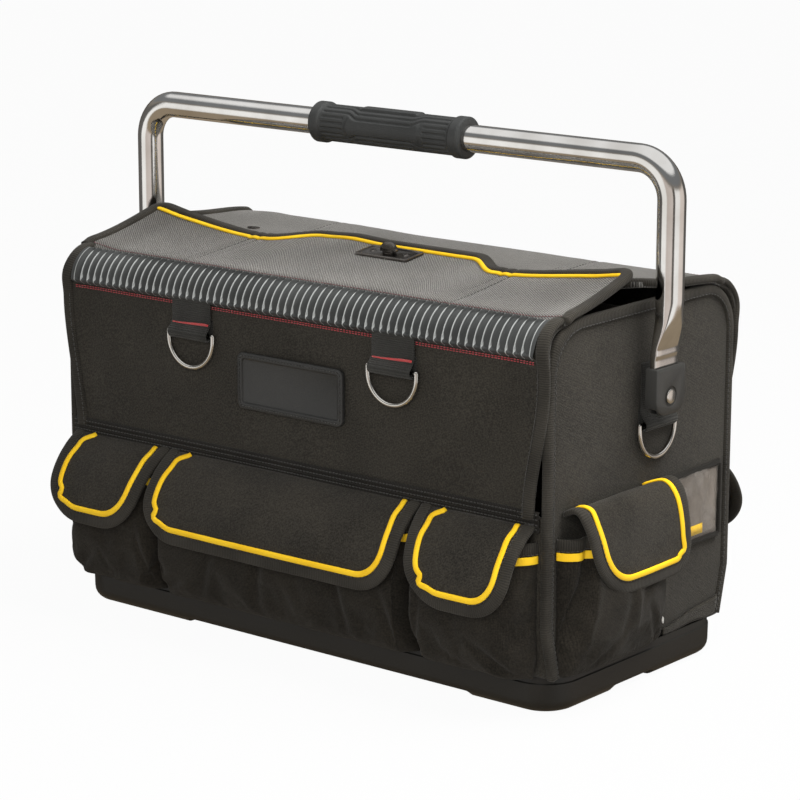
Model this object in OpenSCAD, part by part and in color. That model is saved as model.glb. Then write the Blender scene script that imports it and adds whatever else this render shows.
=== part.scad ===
// Double-sided tool bag: a moulded tray, boarded fabric walls, two fold-down covers
// with lids, eight flapped pockets and a chromed tube handle.
// Millimetres. X runs along the bag, the front is at -Y, Z is up from the feet.

/* [Bag body] */
// Length of the bag over its two end panels
body_l = 498; // [470:2:520]
// Depth of the bag over its front and rear covers
body_d = 250; // [240:2:264]
// Height of the fold between each cover and its lid
body_h = 302; // [298:1:312]
// Height of the seam on which each cover folds down
waist_z = 160; // [158:1:166]
// Thickness of the sewn front and rear walls
wall_t = 4; // [3:0.5:5]
// Thickness of the boarded end panels
end_t = 4; // [3:0.5:5]
// Radius of the end panels' top corners
end_corner_r = 40; // [34:1:46]
// Height at which the fabric has flared out to its full depth
flare_z = 70; // [60:1:80]

/* [Base tray] */
// Height of the tray rim above the floor
tray_h = 30; // [26:1:34]
// Depth of the tray
tray_d = 232; // [228:1:238]
// Wall of the moulded tray
tray_wall = 2.5; // [2:0.5:3.5]
// Thickness of the tray floor
tray_floor = 3; // [2.5:0.5:4]
// Corner radius of the tray in plan
tray_corner_r = 28; // [22:1:32]
// Height of the moulded corner feet
foot_h = 4; // [3:0.5:6]
// Length of each foot along the bag
foot_l = 80; // [60:1:90]

/* [Covers and lids] */
// Thickness of the cover and lid boards
board_t = 5; // [4:0.5:6]
// Radius of the bend at the top of each cover
cover_r = 22; // [18:1:26]
// Slope of the front lid up to its free edge
front_slope = 8; // [6:0.5:9]
// Slope of the rear lid, which runs in lower
rear_slope = 4.5; // [3:0.5:5]
// Distance from the bag's centre plane to the front lid's side edges
lid_edge_y = -16; // [-22:1:-12]
// How far the middle tab of the front lid runs past its sides
tab_reach = 24; // [18:1:28]
// Diameter of the piping on the lid's free edge
piping_d = 5; // [4:0.5:6]

/* [Bumper] */
// Pitch of the bumper ribs along the bag
rib_pitch = 7.5; // [7:0.25:9]
// Width of one rib
rib_w = 4.5; // [3.5:0.5:5.5]
// Height of the ribs above the bumper strip
rib_h = 3; // [2:0.5:3.5]
// Thickness of the bumper strip
bumper_t = 2.5; // [2:0.5:3]

/* [Handle] */
// Outside diameter of the handle tube
tube_d = 22; // [20:0.5:24]
// Wall of the handle tube
tube_wall = 1.2; // [1:0.1:2]
// Distance from each end panel out to the centre of the handle's leg
leg_out = 22; // [20:1:26]
// How far the handle pivots lie below the top of the body
pivot_drop = 68; // [64:1:72]
// Height of the bar's centre above the pivots
handle_h = 180; // [170:1:200]
// Radius of the handle bends at the tube's centre
bend_r = 30; // [26:1:36]
// Length of the rubber grip
grip_l = 155; // [130:1:170]
// Diameter of the rubber grip
grip_d = 31; // [29:0.5:33]
// Width of the black shields over the handle ends
cap_w = 40; // [38:1:42]
// Diameter of the pivot rivet's shaft
rivet_d = 7; // [6:0.5:8]

/* [Pockets] */
// Width of the middle front pocket
mid_pocket_w = 262; // [240:1:270]
// Width of each small front pocket
side_pocket_w = 104; // [96:1:106]
// How far the front pocket flaps stand out from the cover face
flap_out = 36; // [33:1:39]
// Height of the front flaps' lower edge
flap_low_z = 84; // [78:1:90]
// Thickness of the pocket flaps
flap_t = 3; // [2:0.5:3]
// Thickness of the pocket fabric
pocket_t = 2.5; // [2:0.5:3]
// Width of each end pocket
end_pocket_w = 130; // [120:1:136]
// How far the end flaps stand out from the end panel
end_flap_out = 30; // [28:1:33]

/* [Straps and rings] */
// Width of the webbing straps
webbing_w = 42; // [38:1:44]
// Thickness of one layer of webbing
webbing_t = 2; // [1.5:0.25:2.25]
// Wire diameter of the D-rings
wire_d = 4; // [3.5:0.25:4.5]
// Distance of the front rings from the middle of the bag
ring_x = 105; // [90:1:120]
// Distance from a ring's straight bar to the far side of its bow
ring_drop = 28; // [26:1:30]

/* [Lock] */
// Length of the lock plate
lock_l = 54; // [50:1:60]
// Width of the lock plate
lock_w = 24; // [22:1:26]
// Offset of the lock from the middle of the bag
lock_x = 8; // [0:1:12]

/* [Hidden] */

// Overrun of every cut past the face it opens
cut = 1;
// Gap between sewn parts that only meet
seam_gap = 0.3;
// Gap round curved parts that seat on each other
fit_gap = 0.1;
// Running clearance on a radius
run_gap = 0.05;

// Fabric faces worked out from the body
end_x = body_l/2;
end_in_x = end_x - end_t;
cover_y = body_d/2;
wall_set = 3;
wall_y = cover_y - wall_set;
edge_set = 2;
panel_y = cover_y - edge_set;
foot_y = tray_d/2 - tray_wall;
floor_z = foot_h + tray_floor;
bilge = 5;
seat_z = floor_z + bilge;
end_top_z = body_h + edge_set;
bind_w = 7;
bind_t = 1.2;

// Tray details
tray_l = body_l + 2*tray_wall;
rim_h = 5;
rim_out = 1.5;
groove_h = 2;
groove_in = 1;
foot_d = 78;
foot_core_share = 0.45;
foot_in = 1;

// Covers: centre of the bend, fold lines and widths
bend_y = cover_y - cover_r;
bend_z = body_h - cover_r;
fold_in = 2;
lid_y = bend_y - fold_in;
cover_side = 2;
cover_x = end_in_x - cover_side;
cover_taper = 6;
waist_band = 10;
waist_gap = 0.4;
hem_z = waist_z - waist_gap;

// Lids: distances along each lid from its fold
lid_taper = 3;
wing_u = (lid_edge_y + lid_y)/cos(front_slope);
tab_u = wing_u + tab_reach/cos(front_slope);
tab_top_x = 80;
tab_base_x = 118;
lid_gap = 2.4;
rear_wing_u = (lid_y - lid_edge_y - lid_gap)/cos(rear_slope);
rear_tab_u = rear_wing_u - tab_reach/cos(rear_slope);
shoulder_steps = 8;

// Divider and its keeper
divider_t = 5;
divider_drop = 4;
divider_h = body_h - divider_drop;
keeper_t = 1.5;
keeper_l = 36;
keeper_drop = 5.5;
keeper_foot = 24;
keeper_up_h = 8;
keeper_hole_d = 4;
keeper_hole_x = 12;
slot_l = 19;
slot_w = 10;
cam_l = 14;
cam_w = 6;
cam_t = 2.5;
cam_gap = 1;
spindle_d = 6;

// Lock plate and thumb-turn on the lid
lock_edge = 5;
lock_u = wing_u + tab_reach - lock_w/2 - piping_d - lock_edge;
lock_t = 1.6;
lock_rim = 2;
lock_rim_h = 1;
screw_x = 17;
screw_d = 6;
screw_h = 1.2;
screw_top_share = 0.7;
screw_slot = 1;
knob_r = 8;
knob_t = 4;
collar_d = 11;
collar_h = 1.6;
stud_x = -184;
stud_u = 66;
stud_d = 11;
stud_h = 2.4;
stud_hole_d = 5;
stud_socket_d = 6;

// Bumper arcs measured from the centre of the cover's bend
bumper_over = 3;
bumper_x = end_x + bumper_over;
bumper_in_r = cover_r + fit_gap;
bumper_mid_r = bumper_in_r + bumper_t;
bumper_out_r = bumper_mid_r + rib_h;
rib_count = floor((2*bumper_x - rib_w)/rib_pitch) + 1;
rib_root = 1;

// Badge on the front cover
badge_l = 110;
badge_h = 46;
badge_share = 0.517;
badge_z = waist_z + (bend_z - waist_z)*badge_share;
badge_t = 2.6;
badge_rim = 5;
badge_rim_h = 1.4;
badge_r = 6;

// Front and rear pockets, measured out from the wall face and up from the floor
pocket_lift = 1;
pocket_low_z = tray_h + pocket_lift;
pocket_mouth_z = 128;
pocket_belly_z = 85;
pocket_heel_z = 46;
pocket_foot_out = 17;
pocket_heel_out = 26;
pocket_belly_out = 31;
pocket_mouth_out = 24;
pocket_gap = 3;
flap_drop = 8;
flap_hinge_z = waist_z - flap_drop;
flap_corner_r = 34;
flap_arc_share = 0.84;
flap_side = 1;
flap_start = seam_gap;
arc_steps = 12;

// End pockets, which sit towards the front of each end panel
end_pocket_gap = 1.5;
end_pocket_y = -(foot_y - bind_w - end_pocket_gap - end_pocket_w/2);
end_mouth_z = 130;
end_belly_z = 82;
end_heel_z = 44;
end_foot_out = 13;
end_heel_out = 20;
end_belly_out = 25;
end_mouth_out = 17;
end_flap_drop = 1;
end_hinge_z = waist_z - end_flap_drop;
end_flap_low_z = 88;
end_flap_taper = 12;

// Card window behind each end pocket
window_y = 70;
window_w = 72;
window_z = 99;
window_h = 58;
window_t = 1.2;
window_edge = 6;
window_edge_h = 1;
card_in = 3;

// Pockets sewn to the divider
inner_count = 3;
inner_w = 146;
inner_low_z = 18;
inner_top_z = 150;
inner_out = 30;

// Straps, loops and rings
loop_r = wire_d/2 + 2*run_gap + webbing_t;
eye_d = wire_d + 4*run_gap;
strap_t = 2*webbing_t;
pivot_z = body_h - pivot_drop;
ring_drop_z = 27;
front_loop_z = bend_z - ring_drop_z;
end_loop_drop = 25;
strap_up_h = 28;
ring_spare = 6;
end_loop_z = pivot_z - end_loop_drop;
end_strap_top = pivot_z + strap_up_h;
ring_w = webbing_w + ring_spare;
ring_side = 4;

// Handle ends and pivots
leg_span = body_l + 2*leg_out;
flat_t = 6;
flat_w = 30;
flat_set = 2;
flat_x = leg_span/2 - tube_d/2 + flat_t/2 + flat_set;
crease_h = 30;
crease_z = pivot_z + crease_h;
round_h = 73;
round_z = pivot_z + round_h;
bar_z = pivot_z + handle_h;
slice = 0.5;
cap_out_t = 5;
cap_lap = 0.8;
cap_up = 30;
cap_x = flat_x - flat_t/2 - cap_lap;
cap_out_x = flat_x + flat_t/2 + fit_gap + cap_out_t;
head_d = 11;
head_h = 3;
washer_d = 20;
washer_t = 1.5;

// Grip details
collar_l = 9;
grip_collar_d = 34;
grip_groove_d = 2.4;
grip_grooves = 14;
grip_arc_start = 120;
grip_arc = 120;
grip_panel_l = 54;
grip_panel_w = 16;
grip_panel_in = 1.6;
grip_rib_l = 118;

fabric = "#2d2b28";
fine_fabric = "#24231f";
binding = "#1c1b19";
rubber = "#1f2323";
chrome = "#c9ccd0";
nickel = "#8f8c86";
yellow = "#f2c012";

// Places the front's parts at the rear, and the right end's at the left
module at_rear() { mirror([0, 1, 0]) children(); }
module at_left() { mirror([1, 0, 0]) children(); }

// Extrudes a shape drawn in Y and Z along X, from x0 to x1
module along_x(x0, x1) {
    translate([x0, 0, 0]) rotate([90, 0, 90]) linear_extrude(x1 - x0) children();
}

// Extrudes a shape drawn in X and Z along Y, from y0 to y1
module along_y(y0, y1) {
    translate([0, y1, 0]) rotate([90, 0, 0]) linear_extrude(y1 - y0) children();
}

// Rectangle l by w about the origin with true round corners
module round_rect(l, w, r) {
    square([l - 2*r, w], center = true);
    square([l, w - 2*r], center = true);
    for (x = [-1, 1], y = [-1, 1])
        translate([x*(l/2 - r), y*(w/2 - r)]) circle(r, $fn = 48);
}

// Half depth of the fabric body at height z
function body_y(z) = z <= tray_h ? foot_y
    : z >= flare_z ? wall_y
    : foot_y + (wall_y - foot_y)*(z - tray_h)/(flare_z - tray_h);

// Moulded tray: rim bead over a groove, walls turned in at the bottom, four corner feet
module base_tray() {
    color("#35332f") {
        difference() {
            union() {
                hull() {
                    translate([0, 0, foot_h]) linear_extrude(slice)
                        round_rect(tray_l - 2*bilge, tray_d - 2*bilge, tray_corner_r - bilge);
                    translate([0, 0, foot_h + bilge]) linear_extrude(slice)
                        round_rect(tray_l, tray_d, tray_corner_r);
                }
                translate([0, 0, foot_h + bilge]) linear_extrude(tray_h - foot_h - bilge)
                    round_rect(tray_l, tray_d, tray_corner_r);
                translate([0, 0, tray_h - rim_h]) linear_extrude(rim_h)
                    round_rect(tray_l + 2*rim_out, tray_d + 2*rim_out, tray_corner_r + rim_out);
            }
            hull() {
                translate([0, 0, floor_z]) linear_extrude(slice)
                    round_rect(body_l - 2*bilge, 2*foot_y - 2*bilge,
                        tray_corner_r - tray_wall - bilge);
                translate([0, 0, seat_z]) linear_extrude(slice)
                    round_rect(body_l, 2*foot_y, tray_corner_r - tray_wall);
            }
            translate([0, 0, seat_z]) linear_extrude(tray_h)
                round_rect(body_l, 2*foot_y, tray_corner_r - tray_wall);
            translate([0, 0, tray_h - rim_h - groove_h]) linear_extrude(groove_h)
                difference() {
                    square([tray_l + 2*rim_out, tray_d + 2*rim_out], center = true);
                    round_rect(tray_l - 2*groove_in, tray_d - 2*groove_in, tray_corner_r);
                }
        }
        for (x = [-1, 1], y = [-1, 1]) scale([x, y, 1]) foot();
    }
}

// One corner foot, an L flush with the tray's walls, that rises into them
module foot() {
    corner_x = tray_l/2;
    corner_y = tray_d/2;
    linear_extrude(floor_z) difference() {
        intersection() {
            round_rect(tray_l - 2*foot_in, tray_d - 2*foot_in, tray_corner_r - foot_in);
            translate([corner_x - foot_l, corner_y - foot_d]) square([foot_l, foot_d]);
        }
        translate([corner_x - foot_l - cut, corner_y - foot_d - cut])
            square([foot_l*(1 - foot_core_share) + cut, foot_d*(1 - foot_core_share) + cut]);
    }
}

// Outline of an end panel in Y and Z, drawn in by inset above the tray
module end_outline(inset = 0) {
    side = panel_y - inset;
    tongue = foot_y - tray_corner_r + tray_wall - seam_gap;
    foot = foot_y - inset;
    corner = end_corner_r - inset;
    shoulder_z = end_top_z - end_corner_r;
    low_z = tray_h + seam_gap;
    if (inset == 0)
        translate([-tongue, seat_z]) square([2*tongue, low_z - seat_z]);
    polygon([[-foot, low_z], [foot, low_z], [side, flare_z], [side, shoulder_z],
        [-side, shoulder_z], [-side, flare_z]]);
    translate([-side + corner, shoulder_z]) square([2*(side - corner), corner]);
    for (y = [-1, 1])
        intersection() {
            translate([y*(side - corner), shoulder_z]) circle(corner, $fn = 96);
            translate([-side, shoulder_z]) square([2*side, corner]);
        }
}

// Right end panel with its bound edge and the bore for the pivot rivet
module end_panel() {
    difference() {
        union() {
            along_x(end_in_x, end_x) end_outline();
            along_x(end_x, end_x + bind_t) difference() {
                intersection() {
                    end_outline();
                    translate([-panel_y, tray_h + seam_gap]) square([2*panel_y, end_top_z]);
                }
                end_outline(bind_w);
            }
        }
        translate([end_in_x - cut, 0, pivot_z]) rotate([0, 90, 0])
            cylinder(h = end_t + 2*cut, d = rivet_d, $fn = 32);
    }
}
module end_panel_right() { color(fabric) end_panel(); }
module end_panel_left() { color(fabric) at_left() end_panel(); }

// Front wall up to the waist, narrow inside the tray and flared above its rim
module front_wall() {
    color(fabric) {
        along_x(-end_in_x, end_in_x) polygon([
            [-foot_y, tray_h + seam_gap], [-wall_y, flare_z], [-wall_y, hem_z - waist_band],
            [-cover_y, hem_z - waist_band], [-cover_y, hem_z], [-wall_y + wall_t, hem_z],
            [-wall_y + wall_t, flare_z], [-foot_y + wall_t, tray_h + seam_gap]]);
        tongue_x = end_x - tray_corner_r + tray_wall - seam_gap;
        translate([-tongue_x, -foot_y, seat_z])
            cube([2*tongue_x, wall_t, tray_h + seam_gap - seat_z]);
    }
}
module rear_wall() { at_rear() front_wall(); }

// Stiff divider that parts the two sides and carries the keeper
module centre_divider() {
    color(fine_fabric) difference() {
        translate([-end_in_x, -divider_t/2, seat_z])
            cube([2*end_in_x, divider_t, divider_h - seat_z]);
        for (side = [0, 1]) mirror([side, 0, 0])
            translate([end_in_x - washer_t - seam_gap, 0, pivot_z]) rotate([0, 90, 0])
                cylinder(h = washer_t + seam_gap + cut, d = washer_d + 2*seam_gap, $fn = 48);
    }
}

// Open-topped pocket drawn with its wall plane at y = 0 and standing out to -y.
// rows lists [z, out] from the foot to the mouth, back is how far the foot runs in.
module pocket(w, rows, back = 0) {
    top = rows[len(rows) - 1][0];
    difference() {
        along_x(-w/2, w/2) {
            polygon(concat([[0, rows[0][0]]], [for (r = rows) [-r[1], r[0]]], [[0, top]]));
            if (back > 0)
                polygon([[0, rows[0][0]], [0, flare_z - seam_gap],
                    [back, tray_h + seam_gap], [back, rows[0][0]]]);
        }
        along_x(-w/2 + pocket_t, w/2 - pocket_t)
            polygon(concat([[back + cut, rows[0][0] + pocket_t]],
                [for (i = [0 : len(rows) - 1])
                    [-rows[i][1] + pocket_t, i == 0 ? rows[0][0] + pocket_t : rows[i][0]]],
                [[-rows[len(rows) - 1][1] + pocket_t, top + cut], [back + cut, top + cut]]));
    }
}

front_rows = [[pocket_low_z, pocket_foot_out], [pocket_heel_z, pocket_heel_out],
    [pocket_belly_z, pocket_belly_out], [pocket_mouth_z, pocket_mouth_out]];
end_rows = [[pocket_low_z, end_foot_out], [end_heel_z, end_heel_out],
    [end_belly_z, end_belly_out], [end_mouth_z, end_mouth_out]];

side_pocket_x = mid_pocket_w/2 + pocket_gap + side_pocket_w/2;
module front_pocket(x, w) {
    color(fine_fabric) translate([x, -wall_y, 0]) pocket(w, front_rows);
}
module front_pocket_left() { front_pocket(-side_pocket_x, side_pocket_w); }
module front_pocket_middle() { front_pocket(0, mid_pocket_w); }
module front_pocket_right() { front_pocket(side_pocket_x, side_pocket_w); }
module rear_pocket_left() { at_rear() front_pocket_left(); }
module rear_pocket_middle() { at_rear() front_pocket_middle(); }
module rear_pocket_right() { at_rear() front_pocket_right(); }

module end_pocket() {
    color(fine_fabric) translate([end_x, end_pocket_y, 0]) rotate([0, 0, 90])
        pocket(end_pocket_w, end_rows);
}
module end_pocket_right() { end_pocket(); }
module end_pocket_left() { at_left() end_pocket(); }

// Points along an arc of radius r about c, from angle a0 to a1
function arc(c, r, a0, a1) = [for (i = [0 : arc_steps])
    let (a = a0 + (a1 - a0)*i/arc_steps) [c[0] + r*cos(a), c[1] + r*sin(a)]];

// Flap hinged at y = 0, height top, that arcs out to -out and hangs to low
module flap(w, out, top, low, taper = 0) {
    fall = (top - low)*flap_arc_share;
    r = (out*out + fall*fall)/(2*out);
    intersection() {
        along_x(-w/2, w/2) {
            intersection() {
                translate([r - out, top - fall]) difference() {
                    circle(r, $fn = 160);
                    circle(r - flap_t, $fn = 160);
                }
                translate([-out, top - fall]) square([out - flap_start, fall]);
            }
            translate([-out + fit_gap/2, low]) square([flap_t - fit_gap, top - fall - low + slice]);
        }
        along_y(-out - cut, cut) {
            corner_x = w/2 - taper - flap_corner_r;
            corner_z = low + flap_corner_r;
            polygon(concat([[w/2, top], [-w/2, top]],
                arc([-corner_x, corner_z], flap_corner_r, 180, 270),
                arc([corner_x, corner_z], flap_corner_r, 270, 360)));
        }
    }
}

module front_flap(x, w) {
    color(fine_fabric) translate([x, -cover_y, 0])
        flap(w - 2*flap_side, flap_out, flap_hinge_z, flap_low_z);
}
module front_flap_left() { front_flap(-side_pocket_x, side_pocket_w); }
module front_flap_middle() { front_flap(0, mid_pocket_w); }
module front_flap_right() { front_flap(side_pocket_x, side_pocket_w); }
module rear_flap_left() { at_rear() front_flap_left(); }
module rear_flap_middle() { at_rear() front_flap_middle(); }
module rear_flap_right() { at_rear() front_flap_right(); }

module end_flap() {
    color(fine_fabric) translate([end_x, end_pocket_y, 0]) rotate([0, 0, 90])
        flap(end_pocket_w - 2*flap_side, end_flap_out, end_hinge_z, end_flap_low_z, end_flap_taper);
}
module end_flap_right() { end_flap(); }
module end_flap_left() { at_left() end_flap(); }

// Card window: a bound frame round a clear sheet with a card behind it
module id_window() {
    translate([end_x, window_y - window_w/2, window_z]) {
        color("#d8d6cc") translate([0, card_in, card_in])
            cube([window_t, window_w - 2*card_in, window_h - card_in]);
        color(binding) difference() {
            cube([window_t + window_edge_h, window_w, window_h]);
            translate([-cut, window_edge, window_edge])
                cube([window_t + window_edge_h + 2*cut, window_w - 2*window_edge, window_h]);
            translate([-cut, card_in, card_in])
                cube([window_t + cut, window_w - 2*card_in, window_h]);
        }
    }
}
module id_window_right() { id_window(); }
module id_window_left() { at_left() id_window(); }

// Row of pockets sewn to the front face of the divider
module inner_pockets_front() {
    color(fine_fabric) for (i = [0 : inner_count - 1])
        translate([(i - (inner_count - 1)/2)*(inner_w - pocket_t), -divider_t/2, 0])
            pocket(inner_w, [[inner_low_z, inner_out], [inner_top_z, inner_out]]);
}
module inner_pockets_rear() { at_rear() inner_pockets_front(); }

// Doubled webbing strap with a loop round a ring's bar, back face at y = 0
module ring_strap(top_z, loop_z, bore = false) {
    difference() {
        union() {
            translate([-webbing_w/2, -strap_t, loop_z]) cube([webbing_w, strap_t, top_z - loop_z]);
            translate([-webbing_w/2, -loop_r, loop_z]) rotate([0, 90, 0])
                cylinder(h = webbing_w, r = loop_r, $fn = 32);
        }
        translate([-webbing_w/2 - cut, -loop_r, loop_z]) rotate([0, 90, 0])
            cylinder(h = webbing_w + 2*cut, d = eye_d, $fn = 32);
        if (bore)
            translate([0, cut, pivot_z]) rotate([90, 0, 0])
                cylinder(h = strap_t + 2*cut, d = rivet_d, $fn = 32);
    }
}

// D-ring hanging from a bar at y = -loop_r, height loop_z
module d_ring(loop_z) {
    half = ring_w/2;
    bow_r = min(half, ring_drop - ring_side);
    translate([0, -loop_r, loop_z]) {
        translate([-half, 0, 0]) rotate([0, 90, 0]) cylinder(h = ring_w, d = wire_d, $fn = 24);
        for (x = [-1, 1]) {
            translate([x*half, 0, 0]) sphere(d = wire_d, $fn = 24);
            translate([x*half, 0, -(ring_drop - bow_r)])
                cylinder(h = ring_drop - bow_r, d = wire_d, $fn = 24);
        }
        translate([0, 0, -(ring_drop - bow_r)]) rotate([90, 0, 0]) rotate([0, 0, 180])
            rotate_extrude(angle = 180, $fn = 64) translate([half, 0]) circle(d = wire_d, $fn = 24);
    }
}

module front_ring_tab(x) {
    color(binding) translate([x, -cover_y, 0]) ring_strap(bend_z - seam_gap, front_loop_z);
}
module front_ring_tab_left() { front_ring_tab(-ring_x); }
module front_ring_tab_right() { front_ring_tab(ring_x); }
module rear_ring_tab_left() { at_rear() front_ring_tab_left(); }
module rear_ring_tab_right() { at_rear() front_ring_tab_right(); }

module front_ring(x) { color(nickel) translate([x, -cover_y, 0]) d_ring(front_loop_z); }
module front_ring_left() { front_ring(-ring_x); }
module front_ring_right() { front_ring(ring_x); }
module rear_ring_left() { at_rear() front_ring_left(); }
module rear_ring_right() { at_rear() front_ring_right(); }

module end_ring_tab() {
    color(binding) translate([end_x, 0, 0]) rotate([0, 0, 90])
        ring_strap(end_strap_top, end_loop_z, true);
}
module end_ring_tab_right() { end_ring_tab(); }
module end_ring_tab_left() { at_left() end_ring_tab(); }

module end_ring() {
    color(nickel) translate([end_x, 0, 0]) rotate([0, 0, 90]) d_ring(end_loop_z);
}
module end_ring_right() { end_ring(); }
module end_ring_left() { at_left() end_ring(); }

// Path of the handle tube at diameter d: bar, two bends and two legs
module tube_path(d) {
    bar_x = leg_span/2 - bend_r;
    leg_top = bar_z - bend_r;
    translate([-bar_x, 0, bar_z]) rotate([0, 90, 0]) cylinder(h = 2*bar_x, d = d, $fn = 64);
    for (side = [0, 1]) mirror([side, 0, 0]) {
        translate([bar_x, 0, leg_top]) rotate([90, 0, 0])
            rotate_extrude(angle = 90, $fn = 64) translate([bend_r, 0]) circle(d = d, $fn = 64);
        translate([leg_span/2, 0, round_z]) cylinder(h = leg_top - round_z, d = d, $fn = 64);
    }
}

// Pressed end of one leg: it narrows from the round tube to a flat with a pivot bore
module leg_end() {
    hull() {
        translate([leg_span/2, 0, round_z - slice]) cylinder(h = slice, d = tube_d, $fn = 32);
        translate([flat_x - flat_t/2, -flat_w/2, crease_z]) cube([flat_t, flat_w, slice]);
    }
    translate([flat_x - flat_t/2, 0, 0]) difference() {
        union() {
            translate([0, -flat_w/2, pivot_z]) cube([flat_t, flat_w, crease_z - pivot_z + slice]);
            translate([0, 0, pivot_z]) rotate([0, 90, 0])
                cylinder(h = flat_t, d = flat_w, $fn = 64);
        }
        translate([-cut, 0, pivot_z]) rotate([0, 90, 0])
            cylinder(h = flat_t + 2*cut, d = rivet_d + 2*run_gap, $fn = 32);
    }
}

module handle_tube() {
    color(chrome) {
        difference() {
            tube_path(tube_d);
            tube_path(tube_d - 2*tube_wall);
        }
        leg_end();
        at_left() leg_end();
    }
}

// Rubber sleeve over the bar: end collars, ribs underneath, a bare inset panel on top
module handle_grip() {
    color(rubber) translate([0, 0, bar_z]) difference() {
        union() {
            translate([-grip_l/2, 0, 0]) rotate([0, 90, 0]) cylinder(h = grip_l, d = grip_d, $fn = 64);
            for (x = [-grip_l/2, grip_l/2 - collar_l])
                translate([x, 0, 0]) rotate([0, 90, 0])
                    cylinder(h = collar_l, d = grip_collar_d, $fn = 64);
        }
        translate([-grip_l/2 - cut, 0, 0]) rotate([0, 90, 0])
            cylinder(h = grip_l + 2*cut, d = tube_d, $fn = 64);
        for (i = [0 : grip_grooves - 1])
            rotate([grip_arc_start + grip_arc*i/(grip_grooves - 1), 0, 0])
                translate([-grip_rib_l/2, 0, grip_d/2]) rotate([0, 90, 0])
                    cylinder(h = grip_rib_l, d = grip_groove_d, $fn = 16);
        translate([0, 0, grip_d/2 - grip_panel_in]) linear_extrude(grip_d)
            round_rect(grip_panel_l, grip_panel_w, grip_panel_w/4);
    }
}

// Black shield over one pressed end, square above the pivot and round below it
module handle_cap() {
    depth = cap_out_x - cap_x;
    slot_w_in = flat_w + 2*fit_gap;
    color(rubber) difference() {
        translate([cap_x, 0, pivot_z]) {
            translate([0, -cap_w/2, 0]) cube([depth, cap_w, cap_up]);
            rotate([0, 90, 0]) cylinder(h = depth, d = cap_w, $fn = 64);
        }
        translate([cap_x - cut, 0, pivot_z]) {
            translate([0, -slot_w_in/2, 0])
                cube([depth - cap_out_t + cut, slot_w_in, cap_up + cut]);
            rotate([0, 90, 0]) cylinder(h = depth - cap_out_t + cut, d = slot_w_in, $fn = 64);
        }
        translate([cap_x - cut, 0, pivot_z]) rotate([0, 90, 0])
            cylinder(h = depth + 2*cut, d = rivet_d + 2*run_gap, $fn = 32);
    }
}
module handle_cap_right() { handle_cap(); }
module handle_cap_left() { at_left() handle_cap(); }

// Rivet with a domed head outside the shield and a washer inside the end panel
module pivot_rivet() {
    head_x = cap_out_x + run_gap;
    translate([end_in_x - washer_t, 0, pivot_z]) rotate([0, 90, 0]) {
        cylinder(h = washer_t, d = washer_d, $fn = 48);
        cylinder(h = head_x - end_in_x + washer_t + head_h/2, d = rivet_d, $fn = 32);
        translate([0, 0, head_x - end_in_x + washer_t]) {
            cylinder(h = head_h/2, d = head_d, $fn = 48);
            translate([0, 0, head_h/2]) cylinder(h = head_h/2, d1 = head_d, d2 = head_d/2, $fn = 48);
        }
    }
}
module pivot_rivets() {
    color(nickel) {
        pivot_rivet();
        at_left() pivot_rivet();
    }
}

// Quarter ring about the cover's bend, between radii r0 and r1, drawn in Y and Z
module bend_ring(r0, r1) {
    translate([-bend_y, bend_z]) intersection() {
        difference() {
            circle(r1, $fn = 96);
            circle(r0, $fn = 96);
        }
        translate([-r1 - cut, 0]) square([r1 + cut, r1 + cut]);
    }
}

// Front cover: an upright board that bends over at the top to the lid's fold
module front_cover_panel() {
    low = waist_z;
    color(fabric) intersection() {
        along_x(-cover_x, cover_x) {
            translate([-cover_y, low]) square([board_t, bend_z - low]);
            bend_ring(cover_r - board_t, cover_r);
            translate([-bend_y, body_h - board_t]) square([fold_in - seam_gap, board_t]);
        }
        along_y(-cover_y - cut, 0) polygon([[-cover_x + cover_taper, low],
            [cover_x - cover_taper, low], [cover_x, bend_z], [cover_x, body_h + cut],
            [-cover_x, body_h + cut], [-cover_x, bend_z]]);
    }
}
module rear_cover_panel() { at_rear() front_cover_panel(); }

// Rubber bumper round the bend, with ribs across it
module front_bumper() {
    color(rubber) {
        along_x(-bumper_x, bumper_x) bend_ring(bumper_in_r, bumper_mid_r);
        for (i = [0 : rib_count - 1]) {
            x = (i - (rib_count - 1)/2)*rib_pitch;
            along_x(x - rib_w/2, x + rib_w/2) bend_ring(bumper_mid_r - rib_root, bumper_out_r);
        }
    }
}
module rear_bumper() { at_rear() front_bumper(); }

// Bare rubber badge with a raised rim
module front_badge() {
    color(rubber) translate([0, 0, badge_z]) difference() {
        along_y(-cover_y - badge_t - badge_rim_h, -cover_y) round_rect(badge_l, badge_h, badge_r);
        along_y(-cover_y - badge_t - badge_rim_h - cut, -cover_y - badge_t)
            round_rect(badge_l - 2*badge_rim, badge_h - 2*badge_rim, badge_r/2);
    }
}

// Free edge of a lid: distance u from the fold at x, with a smooth shoulder to the tab
function shoulder(x) = x <= tab_top_x ? 1 : x >= tab_base_x ? 0
    : (1 + cos(180*(x - tab_top_x)/(tab_base_x - tab_top_x)))/2;
edge_x = concat([cover_x - lid_taper],
    [for (i = [0 : shoulder_steps]) tab_base_x - (tab_base_x - tab_top_x)*i/shoulder_steps]);
function edge_line(wing, tab) = [for (x = edge_x) [x, wing + (tab - wing)*shoulder(x)]];
function both_sides(line) = concat(line,
    [for (i = [len(line) - 1 : -1 : 0]) [-line[i][0], line[i][1]]]);

// Puts the front lid's own frame (x, u, up) on the fold line
module on_front_lid() {
    translate([0, -lid_y, body_h]) rotate([front_slope, 0, 0]) children();
}
module on_rear_lid() {
    at_rear() translate([0, -lid_y, body_h]) rotate([rear_slope, 0, 0]) children();
}

module lid_board(wing, tab) {
    translate([0, 0, -board_t]) linear_extrude(board_t)
        polygon(concat([[cover_x, seam_gap]], both_sides(edge_line(wing, tab)),
            [[-cover_x, seam_gap]]));
}

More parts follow.
